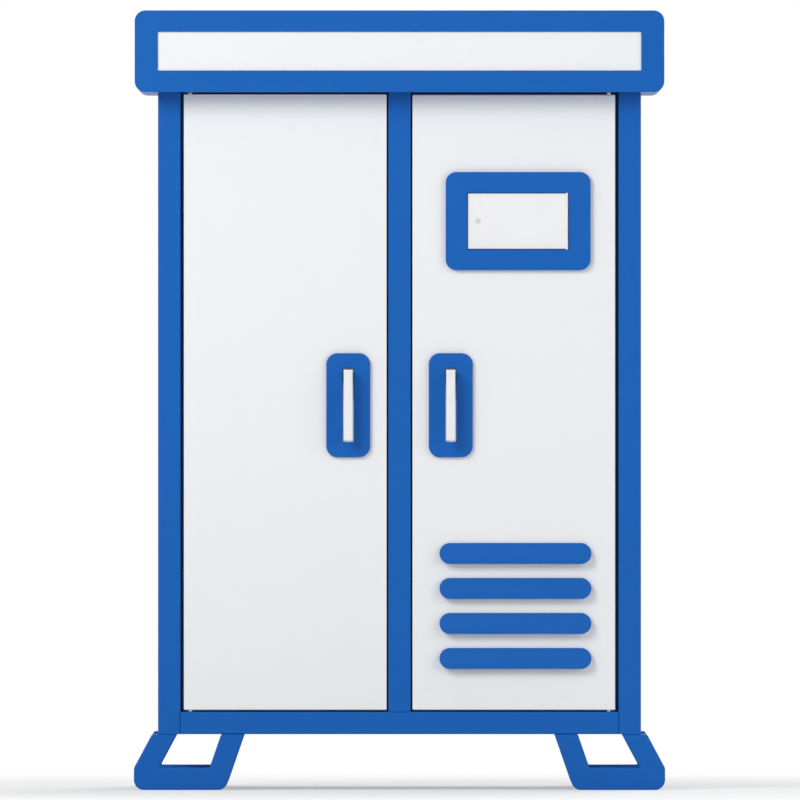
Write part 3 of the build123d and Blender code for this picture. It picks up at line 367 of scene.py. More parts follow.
def settle(piece, name, slot, body="root", finish=None):
    # Puts a finished piece's place into its mesh, and gives it its finish and its body.
    placed(piece)
    piece.name = piece.data.name = name
    piece.data.materials.clear()
    piece.data.materials.append((finish or finishes[slot]).material)
    bpy.ops.object.shade_smooth_by_angle(angle=limits["smooth"])
    modifier = piece.modifiers.new("evenNormals", "WEIGHTED_NORMAL")
    modifier.keep_sharp = True
    bpy.ops.object.modifier_apply(modifier=modifier.name)
    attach(piece, body)
    return piece


def solidGroups(shape):
    # The CAD writes its faces apart, one closed solid after the other. These are the
    # vertices of each solid, so that solids that only touch stay apart.
    groups, held, openEdges = [], [], set()
    for face in shape.faces:
        held += face.verts
        for edge in face.edges:
            ends = [tuple(round(part, 6) for part in vert.co) for vert in edge.verts]
            openEdges ^= {frozenset(ends)}
        if not openEdges:
            groups.append(list(dict.fromkeys(held)))
            held = []
    return groups


def solidBoxes(node):
    # The lowest and highest corner of each solid of a node.
    shape = bmesh.new()
    shape.from_mesh(frame["nodes"][node].data)
    boxes = []
    for group in solidGroups(shape):
        spans = [[vert.co[i] for vert in group] for i in range(3)]
        boxes.append((Vector(map(min, spans)), Vector(map(max, spans))))
    shape.free()
    return boxes


def middlesOf(node):
    # Where the middle of each solid of a node is along X.
    return [(low.x + high.x) / 2 for low, high in solidBoxes(node)]


def evenly(low, high, count):
    return [low + (high - low) * (step + 0.5) / count for step in range(count)]


def inside(low, high, inset):
    return low + inset, high - inset


def fourRound(middle, across, up):
    # Four places round a middle, on the XZ plane.
    return [(middle[0] + side * across, middle[1], middle[2] + end * up)
            for side in (-1, 1) for end in (-1, 1)]


def welded(node):
    # A copy of a node with each solid closed and its flat faces merged.
    first, *rest = node.split("_")
    piece = twin(frame["nodes"][node], first + "".join(word.capitalize() for word in rest))
    shape = bmesh.new()
    shape.from_mesh(piece.data)
    for group in solidGroups(shape):
        bmesh.ops.remove_doubles(shape, verts=group, dist=limits["merge"])
    shape.to_mesh(piece.data)
    shape.free()
    intoEdit(piece, "EDGE")
    bpy.ops.mesh.select_all(action="SELECT")
    bpy.ops.mesh.dissolve_limited(angle_limit=limits["flat"])
    outOfEdit()
    return piece


def onTwoSides(edge, box):
    return sum(all(abs(vert.co[i] - corner[i]) < limits["same side"] for vert in edge.verts)
               for corner in box for i in range(3)) >= 2


def bevelEdges(piece, width, segments, longer=0.0, convex=False, clamp=True, box=None):
    # Rounds the sharp edges: those of at least one length, those that stand out, or
    # those where two sides of a box meet.
    intoEdit(piece, "EDGE")
    shape = bmesh.from_edit_mesh(piece.data)
    for edge in shape.edges:
        sharp = len(edge.link_faces) == 2 and edge.calc_face_angle(0) > limits["sharp"]
        edge.select_set(sharp and edge.calc_length() >= longer
                        and (edge.is_convex or not convex)
                        and (box is None or onTwoSides(edge, box)))
    bmesh.update_edit_mesh(piece.data)
    bpy.ops.mesh.bevel(offset=width, segments=segments, affect="EDGES", clamp_overlap=clamp)
    outOfEdit()


def softenAll(piece, width, segments=2):
    choose(piece)
    modifier = piece.modifiers.new("softEdges", "BEVEL")
    modifier.width = width
    modifier.segments = segments
    modifier.limit_method = "ANGLE"
    bpy.ops.object.modifier_apply(modifier=modifier.name)


def cutOut(piece, *cutters):
    # Cuts the cutters out of a piece, and removes them.
    cutter = joined(*cutters)
    cut = piece.modifiers.new("cut", "BOOLEAN")
    cut.object = cutter
    cut.operation = "DIFFERENCE"
    choose(piece)
    bpy.ops.object.modifier_apply(modifier=cut.name)
    discard(cutter)


def dressed(piece, node):
    # Gives a finished copy of a node that node's finish and body, and replaces it.
    settle(piece, piece.name, slotOf[node], bodyOf[node])
    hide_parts(node)


def rounded(node, width, segments, **choice):
    # A copy of a node with its sharp edges rounded by a width in millimetres, as on
    # folded and coated sheet.
    piece = welded(node)
    bevelEdges(piece, width * mm, segments, **choice)
    dressed(piece, node)


def roundAll(edges):
    for node, (width, segments) in edges.items():
        rounded(node, width, segments)


def bar(low, high):
    # A cube primitive drawn out to a bar between two corners.
    dropSelection()
    low, high = Vector(low), Vector(high)
    bpy.ops.mesh.primitive_cube_add(size=1, location=(low + high) / 2)
    bpy.ops.transform.resize(value=high - low)
    return placed(bpy.context.object)


def tile(x, y, z, width, thickness, height):
    # A bar that stands out to the front from a point in the middle of its back.
    return bar((x - width / 2, y - thickness, z - height / 2),
               (x + width / 2, y, z + height / 2))


def disc(radius, depth, sides=24):
    # A short cylinder on the XZ plane, standing out towards the front.
    dropSelection()
    bpy.ops.mesh.primitive_cylinder_add(vertices=sides, radius=radius, depth=depth,
                                        location=(0, -depth / 2, 0),
                                        rotation=(quarterTurn, 0, 0))
    return placed(bpy.context.object)


def copies(model, name, places, turn):
    # A copy of a model at each place. The model itself goes.
    made = []
    for place in places:
        made.append(twin(model, name))
        made[-1].rotation_euler = turn
        made[-1].location = place
    discard(model)
    placed(*made)
    return made


def repeated(model, name, places, slot, body="root", turn=facing["front"], finish=None):
    # Copies of one model at each place, joined as one piece.
    return settle(joined(*copies(model, name, places, turn)), name, slot, body, finish)


# Small fittings, each modelled once at the origin, facing the front

def buttonScrew(radius, height):
    # A round head in three steps, hollow in the middle.
    screw = disc(radius, height * 0.5)
    pickFront(screw)
    terrace(radius * 0.22, height * 0.38)
    terrace(radius * 0.2, height * 0.12)
    recess(radius * 0.12, height * 0.6)
    outOfEdit()
    return screw


def hexBolt(size):
    # A washer and a hexagon head with its corners taken off.
    washer = disc(size * 1.05, size * 0.2, 20)
    head = disc(size * 0.9, size * 0.85, 6)
    pickFront(head)
    terrace(size * 0.12, size * 0.06)
    outOfEdit()
    return joined(head, washer)


def studNut(size):
    # A nut on the end of a stud.
    nut = hexBolt(size)
    stud = disc(size * 0.5, size * 1.35, 12)
    softenAll(stud, size * 0.12, 1)
    return joined(nut, stud)


def trimRing(x, y, z, width, height):
    # A rectangular trim that stands on a face, open in the middle.
    rim, proud = 3 * mm, 2 * mm
    ring = tile(x, y, z, width, proud, height)
    cutOut(ring, tile(x, y + 1 * mm, z, width - 2 * rim, proud + 2 * mm, height - 2 * rim))
    softenAll(ring, 0.6 * mm)
    return ring


def domeLens(radius, height):
    lens = disc(radius, height, 16)
    pickFront(lens)
    bpy.ops.mesh.bevel(offset=min(radius, height) * 0.75, segments=4, affect="EDGES")
    outOfEdit()
    return lens


def keyCap(width, height, out):
    # A key with a raised rim and a dished middle.
    key = tile(0, 0, 0, width, out, height)
    pickFront(key)
    terrace(width * 0.12, out * 0.3)
    terrace(width * 0.1, out * -0.15)
    outOfEdit()
    softenAll(key, width * 0.05)
    return key


def pullGrip(span, reach, wire):
    # A bent round bar: out from one foot, along, and back to the other.
    bend = wire * 2.2
    dropSelection()
    bpy.ops.mesh.primitive_circle_add(vertices=12, radius=wire, fill_type="NGON",
                                      location=(0, 0, -span / 2),
                                      rotation=(quarterTurn, 0, 0))
    grip = placed(bpy.context.object)
    intoEdit(grip)
    bpy.ops.mesh.select_all(action="SELECT")
    pushOut(reach - bend)
    for middleZ, way in ((bend - span / 2, 1), (span / 2 - bend, -1)):
        bpy.ops.mesh.spin(steps=5, angle=-quarterTurn, center=(0, bend - reach, middleZ),
                          axis=(1, 0, 0))
        if way > 0:
            bpy.ops.mesh.extrude_region_move(
                TRANSFORM_OT_translate={"value": (0, 0, span - 2 * bend)})
    pushOut(bend - reach)
    bpy.ops.mesh.select_all(action="SELECT")
    bpy.ops.mesh.normals_make_consistent(inside=False)
    outOfEdit()
    return grip


def roundConnector(radius, reach):
    # A square flange and a knurled ring round a deep socket.
    flange = tile(0, 0, 0, radius * 2.3, 2.5 * mm, radius * 2.3)
    softenAll(flange, 1.0 * mm)
    ring = disc(radius, reach, 36)
    intoEdit(ring)
    step = 2 * math.pi / 18
    pickFaces(ring, lambda middle, normal: abs(normal.y) < 0.5
              and math.atan2(middle.z, middle.x) % step < step / 2)
    bpy.ops.mesh.extrude_region_shrink_fatten(TRANSFORM_OT_shrink_fatten={"value": 0.9 * mm})
    pickFaces(ring, lambda middle, normal: facesFront(middle, normal)
              and math.hypot(middle.x, middle.z) < radius / 2)
    recess(radius * 0.2, reach * 0.7)
    outOfEdit()
    return joined(ring, flange)


def dataConnector(width, height):
    # A D-shaped metal mouth on a flange with two posts.
    flange = tile(0, 0, 0, width * 1.24, 1.5 * mm, height * 1.2)
    mouth = tile(0, -1 * mm, 0, width, 5 * mm, height)
    intoEdit(mouth)
    pickFaces(mouth, lambda middle, normal: normal.z < -0.9)
    bpy.ops.transform.resize(value=(0.86, 1, 1))
    pickFaces(mouth, facesFront)
    recess(height * 0.14, 3.5 * mm)
    outOfEdit()
    posts = [disc(height * 0.22, 6 * mm, 6) for side in range(2)]
    posts[0].location.x, posts[1].location.x = width * -0.56, width * 0.56
    softenAll(joined(mouth, flange, *posts), 0.4 * mm, 1)
    return mouth


def stadium(length, width, depth):
    # A flat bar with round ends along X, on the XZ plane, standing out to the front.
    piece = disc(width / 2, depth, 16)
    intoEdit(piece, "VERT")
    shape = bmesh.from_edit_mesh(piece.data)
    for vert in shape.verts:
        vert.select_set(vert.co.x > 0.0001 * mm)
    shape.select_flush_mode()
    bmesh.update_edit_mesh(piece.data)
    bpy.ops.transform.translate(value=(length - width, 0, 0))
    bpy.ops.mesh.select_all(action="SELECT")
    bpy.ops.transform.translate(value=((width - length) / 2, 0, 0))
    outOfEdit()
    return piece


def slotCutters(places, length, width, depth, turn=facing["down"]):
    # Slots of one size in millimetres, ready to be cut out at each place.
    return copies(stadium(length * mm, width * mm, depth * mm), "cutter", places, turn)


# Frame, roof, panels and feet

def dressFrame():
    edges = {  # width of the rounded edges in millimetres, and steps round them
        "door_stops": (0.8, 2), "side_panels": (0.7, 2), "back_panel": (0.7, 2),
        "roof_shell": (1.1, 3), "roof_fascia": (0.8, 2), "ceiling_plate": (0.7, 2),
        "hinge_pins": (0.8, 2), "door_seals": (2.4, 4),
    }
    tubes = {"corner_posts": 3.5, "ring_rails": 3.5, "mullion": 3.0}
    for node, width in tubes.items():
        rounded(node, width, 5, longer=60 * mm, convex=True, clamp=False)
    rounded("feet", 3.0, 4, longer=2 * mm, clamp=False)
    roundAll(edges)
    panelScrews()


def panelScrews():
    # Round-headed screws along the edges of the side and back panels, on the outside.
    size = {"radius": 5 * mm, "height": 2.8 * mm, "inset": 13 * mm, "rows": 6, "columns": 5}
    places = {}
    for low, high in solidBoxes("side_panels"):
        side, outer = ("right", high.x) if high.x > 0 else ("left", low.x)
        places[side] = [(outer, y, z) for y in inside(low.y, high.y, size["inset"])
                        for z in evenly(low.z, high.z, size["rows"])]
    low, high = solidBoxes("back_panel")[0]
    places["back"] = [(x, high.y, z) for x in inside(low.x, high.x, size["inset"])
                      for z in evenly(low.z, high.z, size["rows"])]
    places["back"] += [(x, high.y, z) for x in evenly(low.x, high.x, size["columns"])
                       for z in inside(low.z, high.z, size["inset"])]
    for side, held in places.items():
        repeated(buttonScrew(size["radius"], size["height"]), f"{side}PanelScrews", held,
                 "zinc", turn=facing[side])


# Doors, with what is fixed to them

def foldedDoor(side):
    # The outer fold is rounder than the edges of the lips and the stiffeners.
    node = f"{side}_door"
    piece = welded(node)
    bevelEdges(piece, 2.4 * mm, 4, box=solidBoxes(node)[0])
    bevelEdges(piece, 0.7 * mm, 2)
    dressed(piece, node)


def doorFasteners(side):
    # Welds along the stiffeners, nuts of the handle plate and bolts of the latch's base.
    size = {"weld": 2.6 * mm, "weldHeight": 0.5 * mm, "weldInset": 6 * mm, "welds": 10,
            "nut": 6 * mm, "nutAcross": 31 * mm, "nutUp": 60 * mm,
            "bolt": 5 * mm, "boltAcross": 9 * mm, "boltUp": 62 * mm}
    body = bodyOf[f"{side}_door"]
    hats = solidBoxes(f"{side}_door")[1:]
    welds = [(x, low.y + 2 * mm, z) for low, high in hats
             for x in evenly(low.x, high.x, size["welds"])
             for z in inside(low.z, high.z, size["weldInset"])]
    repeated(domeLens(size["weld"], size["weldHeight"]), f"{side}Welds", welds,
             "white_coat", body, facing["back"])
    low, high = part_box(f"{side}_handle_plate")
    handle = ((low[0] + high[0]) / 2, hats[0][0].y, (low[2] + high[2]) / 2)
    repeated(studNut(size["nut"]), f"{side}StudNuts",
             fourRound(handle, size["nutAcross"], size["nutUp"]), "zinc", body, facing["back"])
    low, high = solidBoxes(f"{side}_latch_frame")[0]
    base = (low + high) / 2
    base.y = low.y + 3 * mm
    repeated(hexBolt(size["bolt"]), f"{side}LatchBolts",
             fourRound(base, size["boltAcross"], size["boltUp"]), "zinc", body, facing["back"])


def filterGrille():
    # Crossed wires inside the filter's frame.
    size = {"inset": 5 * mm, "half": 0.6 * mm, "behind": 0.75 * mm, "upright": 12, "level": 14}
    low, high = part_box("filter_frame")
    left, right = inside(low[0], high[0], size["inset"])
    bottom, top = inside(low[2], high[2], size["inset"])
    half, y = size["half"], high[1] - size["behind"]
    wires = []
    for step in range(1, size["upright"]):
        x = left + (right - left) * step / size["upright"]
        wires.append(bar((x - half, y - 0.7 * mm, bottom), (x + half, y, top)))
    for step in range(1, size["level"]):
        z = bottom + (top - bottom) * step / size["level"]
        wires.append(bar((left, y, z - half), (right, y + half, z + half)))
    settle(joined(*wires), "filterGrille", "zinc", bodyOf["filter_frame"])


def switchTray():
    # Trim rings round the two openings, and a screw in each corner of the tray.
    size = {"switch_toggle": (13 * mm, 17 * mm), "manual_button": (22 * mm, 22 * mm),
            "sheet": 1.5 * mm, "screw": 3.2 * mm, "height": 2.4 * mm, "inset": 14 * mm}
    low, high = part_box("switch_box")
    body = bodyOf["switch_box"]
    plate, middle = high[1] - size["sheet"], (low[2] + high[2]) / 2
    trims = []
    for node in ("switch_toggle", "manual_button"):
        near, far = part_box(node)
        trims.append(trimRing((near[0] + far[0]) / 2, plate, middle, *size[node]))
    settle(joined(*trims), "switchTrims", "black_plastic", body)
    places = [(x, plate, z) for x in inside(low[0], high[0], size["inset"])
              for z in inside(low[2], high[2], size["inset"])]
    repeated(buttonScrew(size["screw"], size["height"]), "trayScrews", places, "zinc", body)


def pouchHem():
    # The mouth of the pouch: its outer wall folded over, and a riveted tab at each end.
    size = {"wall": 1.5 * mm, "fold": 2.5 * mm, "drop": 12 * mm, "tabWidth": 16 * mm,
            "tabDrop": 26 * mm, "inset": 9 * mm, "rivets": (8 * mm, 18 * mm)}
    low, high = [Vector(corner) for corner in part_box("document_pouch")]
    wall, body = size["wall"], bodyOf["document_pouch"]
    back = high.y - wall
    hem = bar((low.x + wall, back - size["fold"], high.z - size["drop"]),
              (high.x - wall, back, high.z))
    softenAll(hem, 1.1 * mm, 3)
    tabs = []
    for x0, x1 in ((low.x + wall, low.x + size["tabWidth"]),
                   (high.x - size["tabWidth"], high.x - wall)):
        tabs.append(bar((x0, low.y + wall, high.z - size["tabDrop"]),
                        (x1, low.y + 2 * wall, high.z)))
        softenAll(tabs[-1], 0.6 * mm)
    settle(joined(hem, *tabs), "pouchHem", "sheet_aluminium", body)
    places = [(x, low.y + 2 * wall, high.z - drop)
              for x in inside(low.x, high.x, size["inset"]) for drop in size["rivets"]]
    repeated(domeLens(3.0 * mm, 1.4 * mm), "pouchRivets", places, "zinc", body, facing["back"])


def dressDoors():
    sideEdges = {  # millimetres and steps, as for the frame
        "hinge_blocks": (0.8, 2), "handle_plate": (2.2, 4), "lever": (2.4, 4),
        "pinion": (0.4, 2), "latch_frame": (0.6, 2), "top_rod": (0.5, 2),
        "bottom_rod": (0.5, 2),
    }
    edges = {
        "louvre_hoods": (1.4, 4), "air_filter": (0.8, 2), "filter_frame": (0.5, 2),
        "flap_frame": (1.8, 4), "police_flap": (0.8, 3), "flap_lock": (0.4, 2),
        "switch_box": (0.5, 2), "switch_toggle": (0.7, 3), "manual_button": (0.6, 3),
        "document_pouch": (0.5, 2),
    }
    for side in ("left", "right"):
        foldedDoor(side)
        doorFasteners(side)
        roundAll({f"{side}_{part}": edge for part, edge in sideEdges.items()})
    roundAll(edges)
    filterGrille()
    switchTray()
    pouchHem()


# Fittings inside

def slottedChannels():
    # The mounting channels with a row of upright slots in their backs.
    size = {"pitch": 50 * mm, "length": 28, "width": 13, "depth": 5, "proud": 1 * mm}
    node = "mounting_channels"
    piece = welded(node)
    cutters = []
    for low, high in solidBoxes(node):
        middle = (low + high) / 2
        count = int((high.z - low.z) / size["pitch"])
        first = middle.z - (count - 1) * size["pitch"] / 2
        heights = [first + step * size["pitch"] for step in range(count)]
        if high.x - low.x > high.y - low.y:
            x, y, sense = middle.x, high.y + size["proud"], 0
        else:
            sense = -1 if middle.x < 0 else 1
            x, y = (low.x if sense < 0 else high.x) + sense * size["proud"], middle.y
        cutters += slotCutters([(x, y, z) for z in heights], size["length"], size["width"],
                               size["depth"], (0, quarterTurn, sense * -quarterTurn))
    cutOut(piece, *cutters)
    bevelEdges(piece, 0.5 * mm, 2, longer=4 * mm)
    dressed(piece, node)


def ventedShelves():
    # The shelves with rows of air slots, and their angle brackets.
    size = {"reach": 38 * mm, "half": 17 * mm, "sheet": 3 * mm, "drop": 46 * mm,
            "boltDrop": 28 * mm, "bolt": 6 * mm, "apart": 110 * mm}
    rows = {"x": range(-350, 351, 70), "y": (-60, -20, 20, 60)}  # middles of the slots
    node = "shelves"
    piece = welded(node)
    cutters, brackets, heads = [], [], {"left": [], "right": []}
    for low, high in solidBoxes(node):
        cutters += slotCutters([(x * mm, y * mm, high.z + 1 * mm)
                                for x in rows["x"] for y in rows["y"]], 50, 6, 5)
        top = high.z - 2 * mm
        for side, wall, inwards in ((-1, low.x, "right"), (1, high.x, "left")):
            face = wall - side * size["sheet"]
            for y in (-size["apart"], size["apart"]):
                front, back = y - size["half"], y + size["half"]
                brackets += [bar((wall - side * size["reach"], front, top - size["sheet"]),
                                 (wall, back, top)),
                             bar((face, front, top - size["drop"]), (wall, back, top))]
                heads[inwards].append((face, y, top - size["boltDrop"]))
    cutOut(piece, *cutters)
    bevelEdges(piece, 0.5 * mm, 2, longer=3 * mm)
    dressed(piece, node)
    softenAll(joined(*brackets), 0.8 * mm)
    settle(brackets[0], "shelfBrackets", "zinc", bodyOf[node])
    for name, inwards in (("leftShelfBolts", "right"), ("rightShelfBolts", "left")):
        repeated(hexBolt(size["bolt"]), name, heads[inwards], "zinc", bodyOf[node],
                 facing[inwards])


def fanGuard():
    # Wire rings and spokes under the fan's opening, with four screwed eyes.
    size = {"rings": [(12 + 11 * step) * mm for step in range(5)], "wire": 1.0 * mm,
            "reach": 66 * mm, "drop": 3 * mm, "bolt": 4 * mm}
    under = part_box("ceiling_plate")[0][2]
    z, wire, reach = under - size["drop"], size["wire"], size["reach"]
    wires = []
    for radius in size["rings"]:
        dropSelection()
        bpy.ops.mesh.primitive_torus_add(major_radius=radius, minor_radius=wire,
                                         major_segments=40, minor_segments=8,
                                         location=(0, 0, z))
        wires.append(bpy.context.object)
    for turn in (45, 135):
        wires.append(bar((-reach, -wire, z - 2 * wire), (reach, wire, z)))
        wires[-1].rotation_euler.z = math.radians(turn)
    settle(joined(*wires), "fanGuard", "zinc")
    eye = reach * math.sqrt(0.5)
    places = [(x, y, under) for x in (-eye, eye) for y in (-eye, eye)]
    repeated(hexBolt(size["bolt"]), "guardBolts", places, "zinc", turn=facing["down"])


def glandBrushes():
    # Two rows of bristles that close the cable slot, in holders screwed to the plate.
    size = {"row": 420 * mm, "pitch": 3.1 * mm, "half": 1.1 * mm, "length": 37 * mm,
            "foot": 38 * mm, "bottom": 1.5 * mm, "top": 4.0 * mm, "lean": 1.1 * mm,
            "holder": 222 * mm, "holderFrom": 36 * mm, "holderWidth": 14 * mm,
            "holderHeight": 6 * mm, "bolt": 6 * mm, "inset": 10 * mm}
    farX, farY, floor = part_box("gland_plate")[1]
    bristles, holders = [], []
    count = int(size["row"] / size["pitch"])
    for side in (-1, 1):
        for place in range(count):
            x = (place - (count - 1) / 2) * size["pitch"]
            lean = math.sin(place * 2.4 + side) * size["lean"]
            bristle = bar((x - size["half"], -1 * mm, floor + size["bottom"]),
                          (x + size["half"], size["length"], floor + size["top"]))
            intoEdit(bristle)
            pickFaces(bristle, lambda middle, normal: normal.y > 0.9)
            bpy.ops.transform.translate(value=(lean, 0, lean * 0.6))
            outOfEdit()
            bristle.rotation_euler.z = math.pi if side > 0 else 0
            bristle.location.y = side * size["foot"]
            bristles.append(bristle)
        near = side * size["holderFrom"]
        holders.append(bar((-size["holder"], near - 2 * mm, floor),
                           (size["holder"], near + side * size["holderWidth"],
                            floor + size["holderHeight"])))
    settle(joined(*bristles), "glandBristles", "black_plastic")
    softenAll(joined(*holders), 1.0 * mm)
    settle(holders[0], "brushHolders", "sheet_aluminium")
    inX, inY = farX - size["inset"], farY - size["inset"]
    places = [(inX * across / 3, y, floor) for across in range(-3, 4) for y in (-inY, inY)]
    places += [(x, 0, floor) for x in (-inX, inX)]
    repeated(hexBolt(size["bolt"]), "glandBolts", places, "zinc", turn=facing["up"])


def ventedUnit(node):
    # An equipment housing with rows of air slots cut in its top.
    slots = {"room": 46 * mm, "pitch": 44 * mm, "length": 34, "width": 4, "depth": 6,
             "rows": range(-80, 21, 10)}
    low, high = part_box(node)
    columns = int((high[0] - low[0]) / slots["room"]) - 1
    first = (low[0] + high[0]) / 2 - (columns - 1) / 2 * slots["pitch"]
    places = [(first + column * slots["pitch"], y * mm, high[2] + 1 * mm)
              for column in range(columns) for y in slots["rows"]]
    piece = welded(node)
    cutOut(piece, *slotCutters(places, slots["length"], slots["width"], slots["depth"]))
    bevelEdges(piece, 0.8 * mm, 2, longer=6 * mm)
    dressed(piece, node)


def cardGuides():
    # A plate over the cards with a lip in front, held by screws, and the row of slots
    # that the cards' boards slide in.
    size = {"sheet": 2 * mm, "near": 4 * mm, "far": 150 * mm, "across": 14 * mm,
            "slots": (45 * mm, 100 * mm), "lip": 3 * mm, "lipHeight": 20 * mm,
            "screw": 4 * mm, "screwHeight": 2.6 * mm, "inset": 12 * mm}
    low, high = solidBoxes("detector_rack")[0]
    top = solidBoxes("detector_cards")[0][1].z + 0.5 * mm
    left, right = inside(low.x, high.x, size["sheet"])
    near, over = low.y + size["near"], top + size["sheet"]
    plate = bar((left, near, top), (right, low.y + size["far"], over))
    slots = [(middle + across, low.y + deep, over + 1 * mm)
             for middle in middlesOf("detector_cards")
             for across in (-size["across"], size["across"]) for deep in size["slots"]]
    cutOut(plate, *slotCutters(slots, 9, 8.9, 5))
    lip = bar((left, near - size["lip"], top), (right, near, top + size["lipHeight"]))
    softenAll(lip, 0.8 * mm, 3)
    settle(joined(plate, lip), "cardGuides", "sheet_aluminium")
    first, last = inside(low.x, high.x, size["inset"])
    places = [(x, near - size["lip"], top + size["lipHeight"] / 2)
              for x in (first, (low.x + high.x) / 2, last)]
    repeated(buttonScrew(size["screw"], size["screwHeight"]), "guideScrews", places, "zinc")


def relayCollars():
    # The socket round the foot of each relay, with its two screws.
    size = {"rim": 4 * mm, "deep": 16 * mm, "ear": 14 * mm, "earThick": 4 * mm,
            "earOut": 6 * mm, "screw": 3.6 * mm, "screwHeight": 2.4 * mm}
    rim, deep = size["rim"], size["deep"]
    collars, places = [], []
    for low, high in solidBoxes("flash_relays"):
        back, middle = high.y, (low.x + high.x) / 2
        collar = bar((low.x - rim, back - deep, low.z - rim),
                     (high.x + rim, back, high.z + rim))
        cutOut(collar, bar((low.x, back - deep - 1 * mm, low.z),
                           (high.x, back + 1 * mm, high.z)))
        softenAll(collar, 0.8 * mm)
        for z in (low.z - rim - size["earOut"], high.z + rim + size["earOut"]):
            collars.append(tile(middle, back, z, size["ear"], size["earThick"], size["ear"]))
            softenAll(collars[-1], 1.5 * mm, 3)
            places.append((middle, back - size["earThick"], z))
        collars.append(collar)
    settle(joined(*collars), "relayCollars", "black_plastic")
    repeated(buttonScrew(size["screw"], size["screwHeight"]), "relayScrews", places, "zinc")


def panelBolts():
    # Bolts that hold the main panel on the back channels.
    size = {"sheet": 3 * mm, "above": 12 * mm, "below": 14 * mm, "bolt": 6 * mm}
    low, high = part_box("main_panel")
    channels = [(a.x + b.x) / 2 for a, b in solidBoxes("mounting_channels")
                if b.x - a.x > b.y - a.y]
    places = [(x, high[1] - size["sheet"], z) for x in channels
              for z in (low[2] + size["above"], high[2] - size["below"])]
    repeated(hexBolt(size["bolt"]), "mainPanelBolts", places, "zinc")


def lampEnds():
    # The end pieces of the lamp, narrower towards the light.
    size = {"past": 6 * mm, "over": 22 * mm, "side": 1.2 * mm, "back": 0.2 * mm}
    low, high = [Vector(corner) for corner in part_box("cabinet_lamp")]
    ends = []
    for x0, x1 in ((low.x - size["past"], low.x + size["over"]),
                   (high.x - size["over"], high.x + size["past"])):
        end = bar((x0, low.y + size["back"], low.z - size["side"]),
                  (x1, high.y + size["side"], high.z))
        intoEdit(end)
        pickFaces(end, lambda middle, normal: normal.z < -0.9)
        bpy.ops.transform.resize(value=(0.9, 0.62, 1))
        outOfEdit()
        softenAll(end, 1.4 * mm, 3)
        ends.append(end)
    settle(joined(*ends), "lampEnds", "grey_plastic")


def dressInside():
    edges = {  # millimetres and steps, as for the frame
        "floor_pan": (0.6, 2), "gland_plate": (0.6, 2), "cabinet_lamp": (2.0, 4),
        "fan_housing": (1.5, 3), "fan_rotor": (0.5, 2), "detector_rack": (0.8, 2),
        "detector_cards": (0.6, 2), "main_panel": (0.6, 2), "terminal_strips": (0.6, 2),
        "bus_bars": (0.8, 2), "circuit_breakers": (1.2, 3), "load_switches": (1.6, 3),
        "flash_relays": (2.0, 3), "main_toggle": (0.8, 3), "branch_toggle_1": (0.8, 3),
        "branch_toggle_2": (0.8, 3),
    }
    slottedChannels()
    ventedShelves()
    fanGuard()
    glandBrushes()
    for node in ("controller_unit", "conflict_monitor", "power_unit"):
        ventedUnit(node)
    roundAll(edges)
    cardGuides()
    relayCollars()
    panelBolts()
    lampEnds()


# Equipment fronts. Spots are in millimetres, to the right of an origin and above it.

def onFront(origin, *spots):
    return [(origin[0] + right * mm, origin[1], origin[2] + up * mm) for right, up in spots]


def onEach(node, up, right=0):
    # A spot on each solid of a node, from its middle and its foot.
    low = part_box(node)[0]
    return [(x + right * mm, low[1], low[2] + up * mm) for x in middlesOf(node)]


def screenGlass(name, origin, left, bottom, right, top):
    # A pane a little behind the rim of its opening.
    x, y, z = origin
    glass = bar((x + left * mm, y + 0.4 * mm, z + bottom * mm),
                (x + right * mm, y + 1.3 * mm, z + top * mm))
    softenAll(glass, 0.3 * mm)
    settle(glass, name, "clear_plastic", finish=displayGlass)


def endGrips(name, node, face, inset, span, reach, wire):
    # A grip near each end of a front. The sizes are in millimetres.
    low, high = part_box(node)
    places = [(x, face, (low[2] + high[2]) / 2) for x in inside(low[0], high[0], inset * mm)]
    repeated(pullGrip(span * mm, reach * mm, wire * mm), name, places, "zinc")


def lampRow(name, places, lens, radius=2.4):
    slot = "red_plastic" if lens is redLens else "clear_plastic"
    repeated(domeLens(radius * mm, 2.2 * mm), name, places, slot, finish=lens)


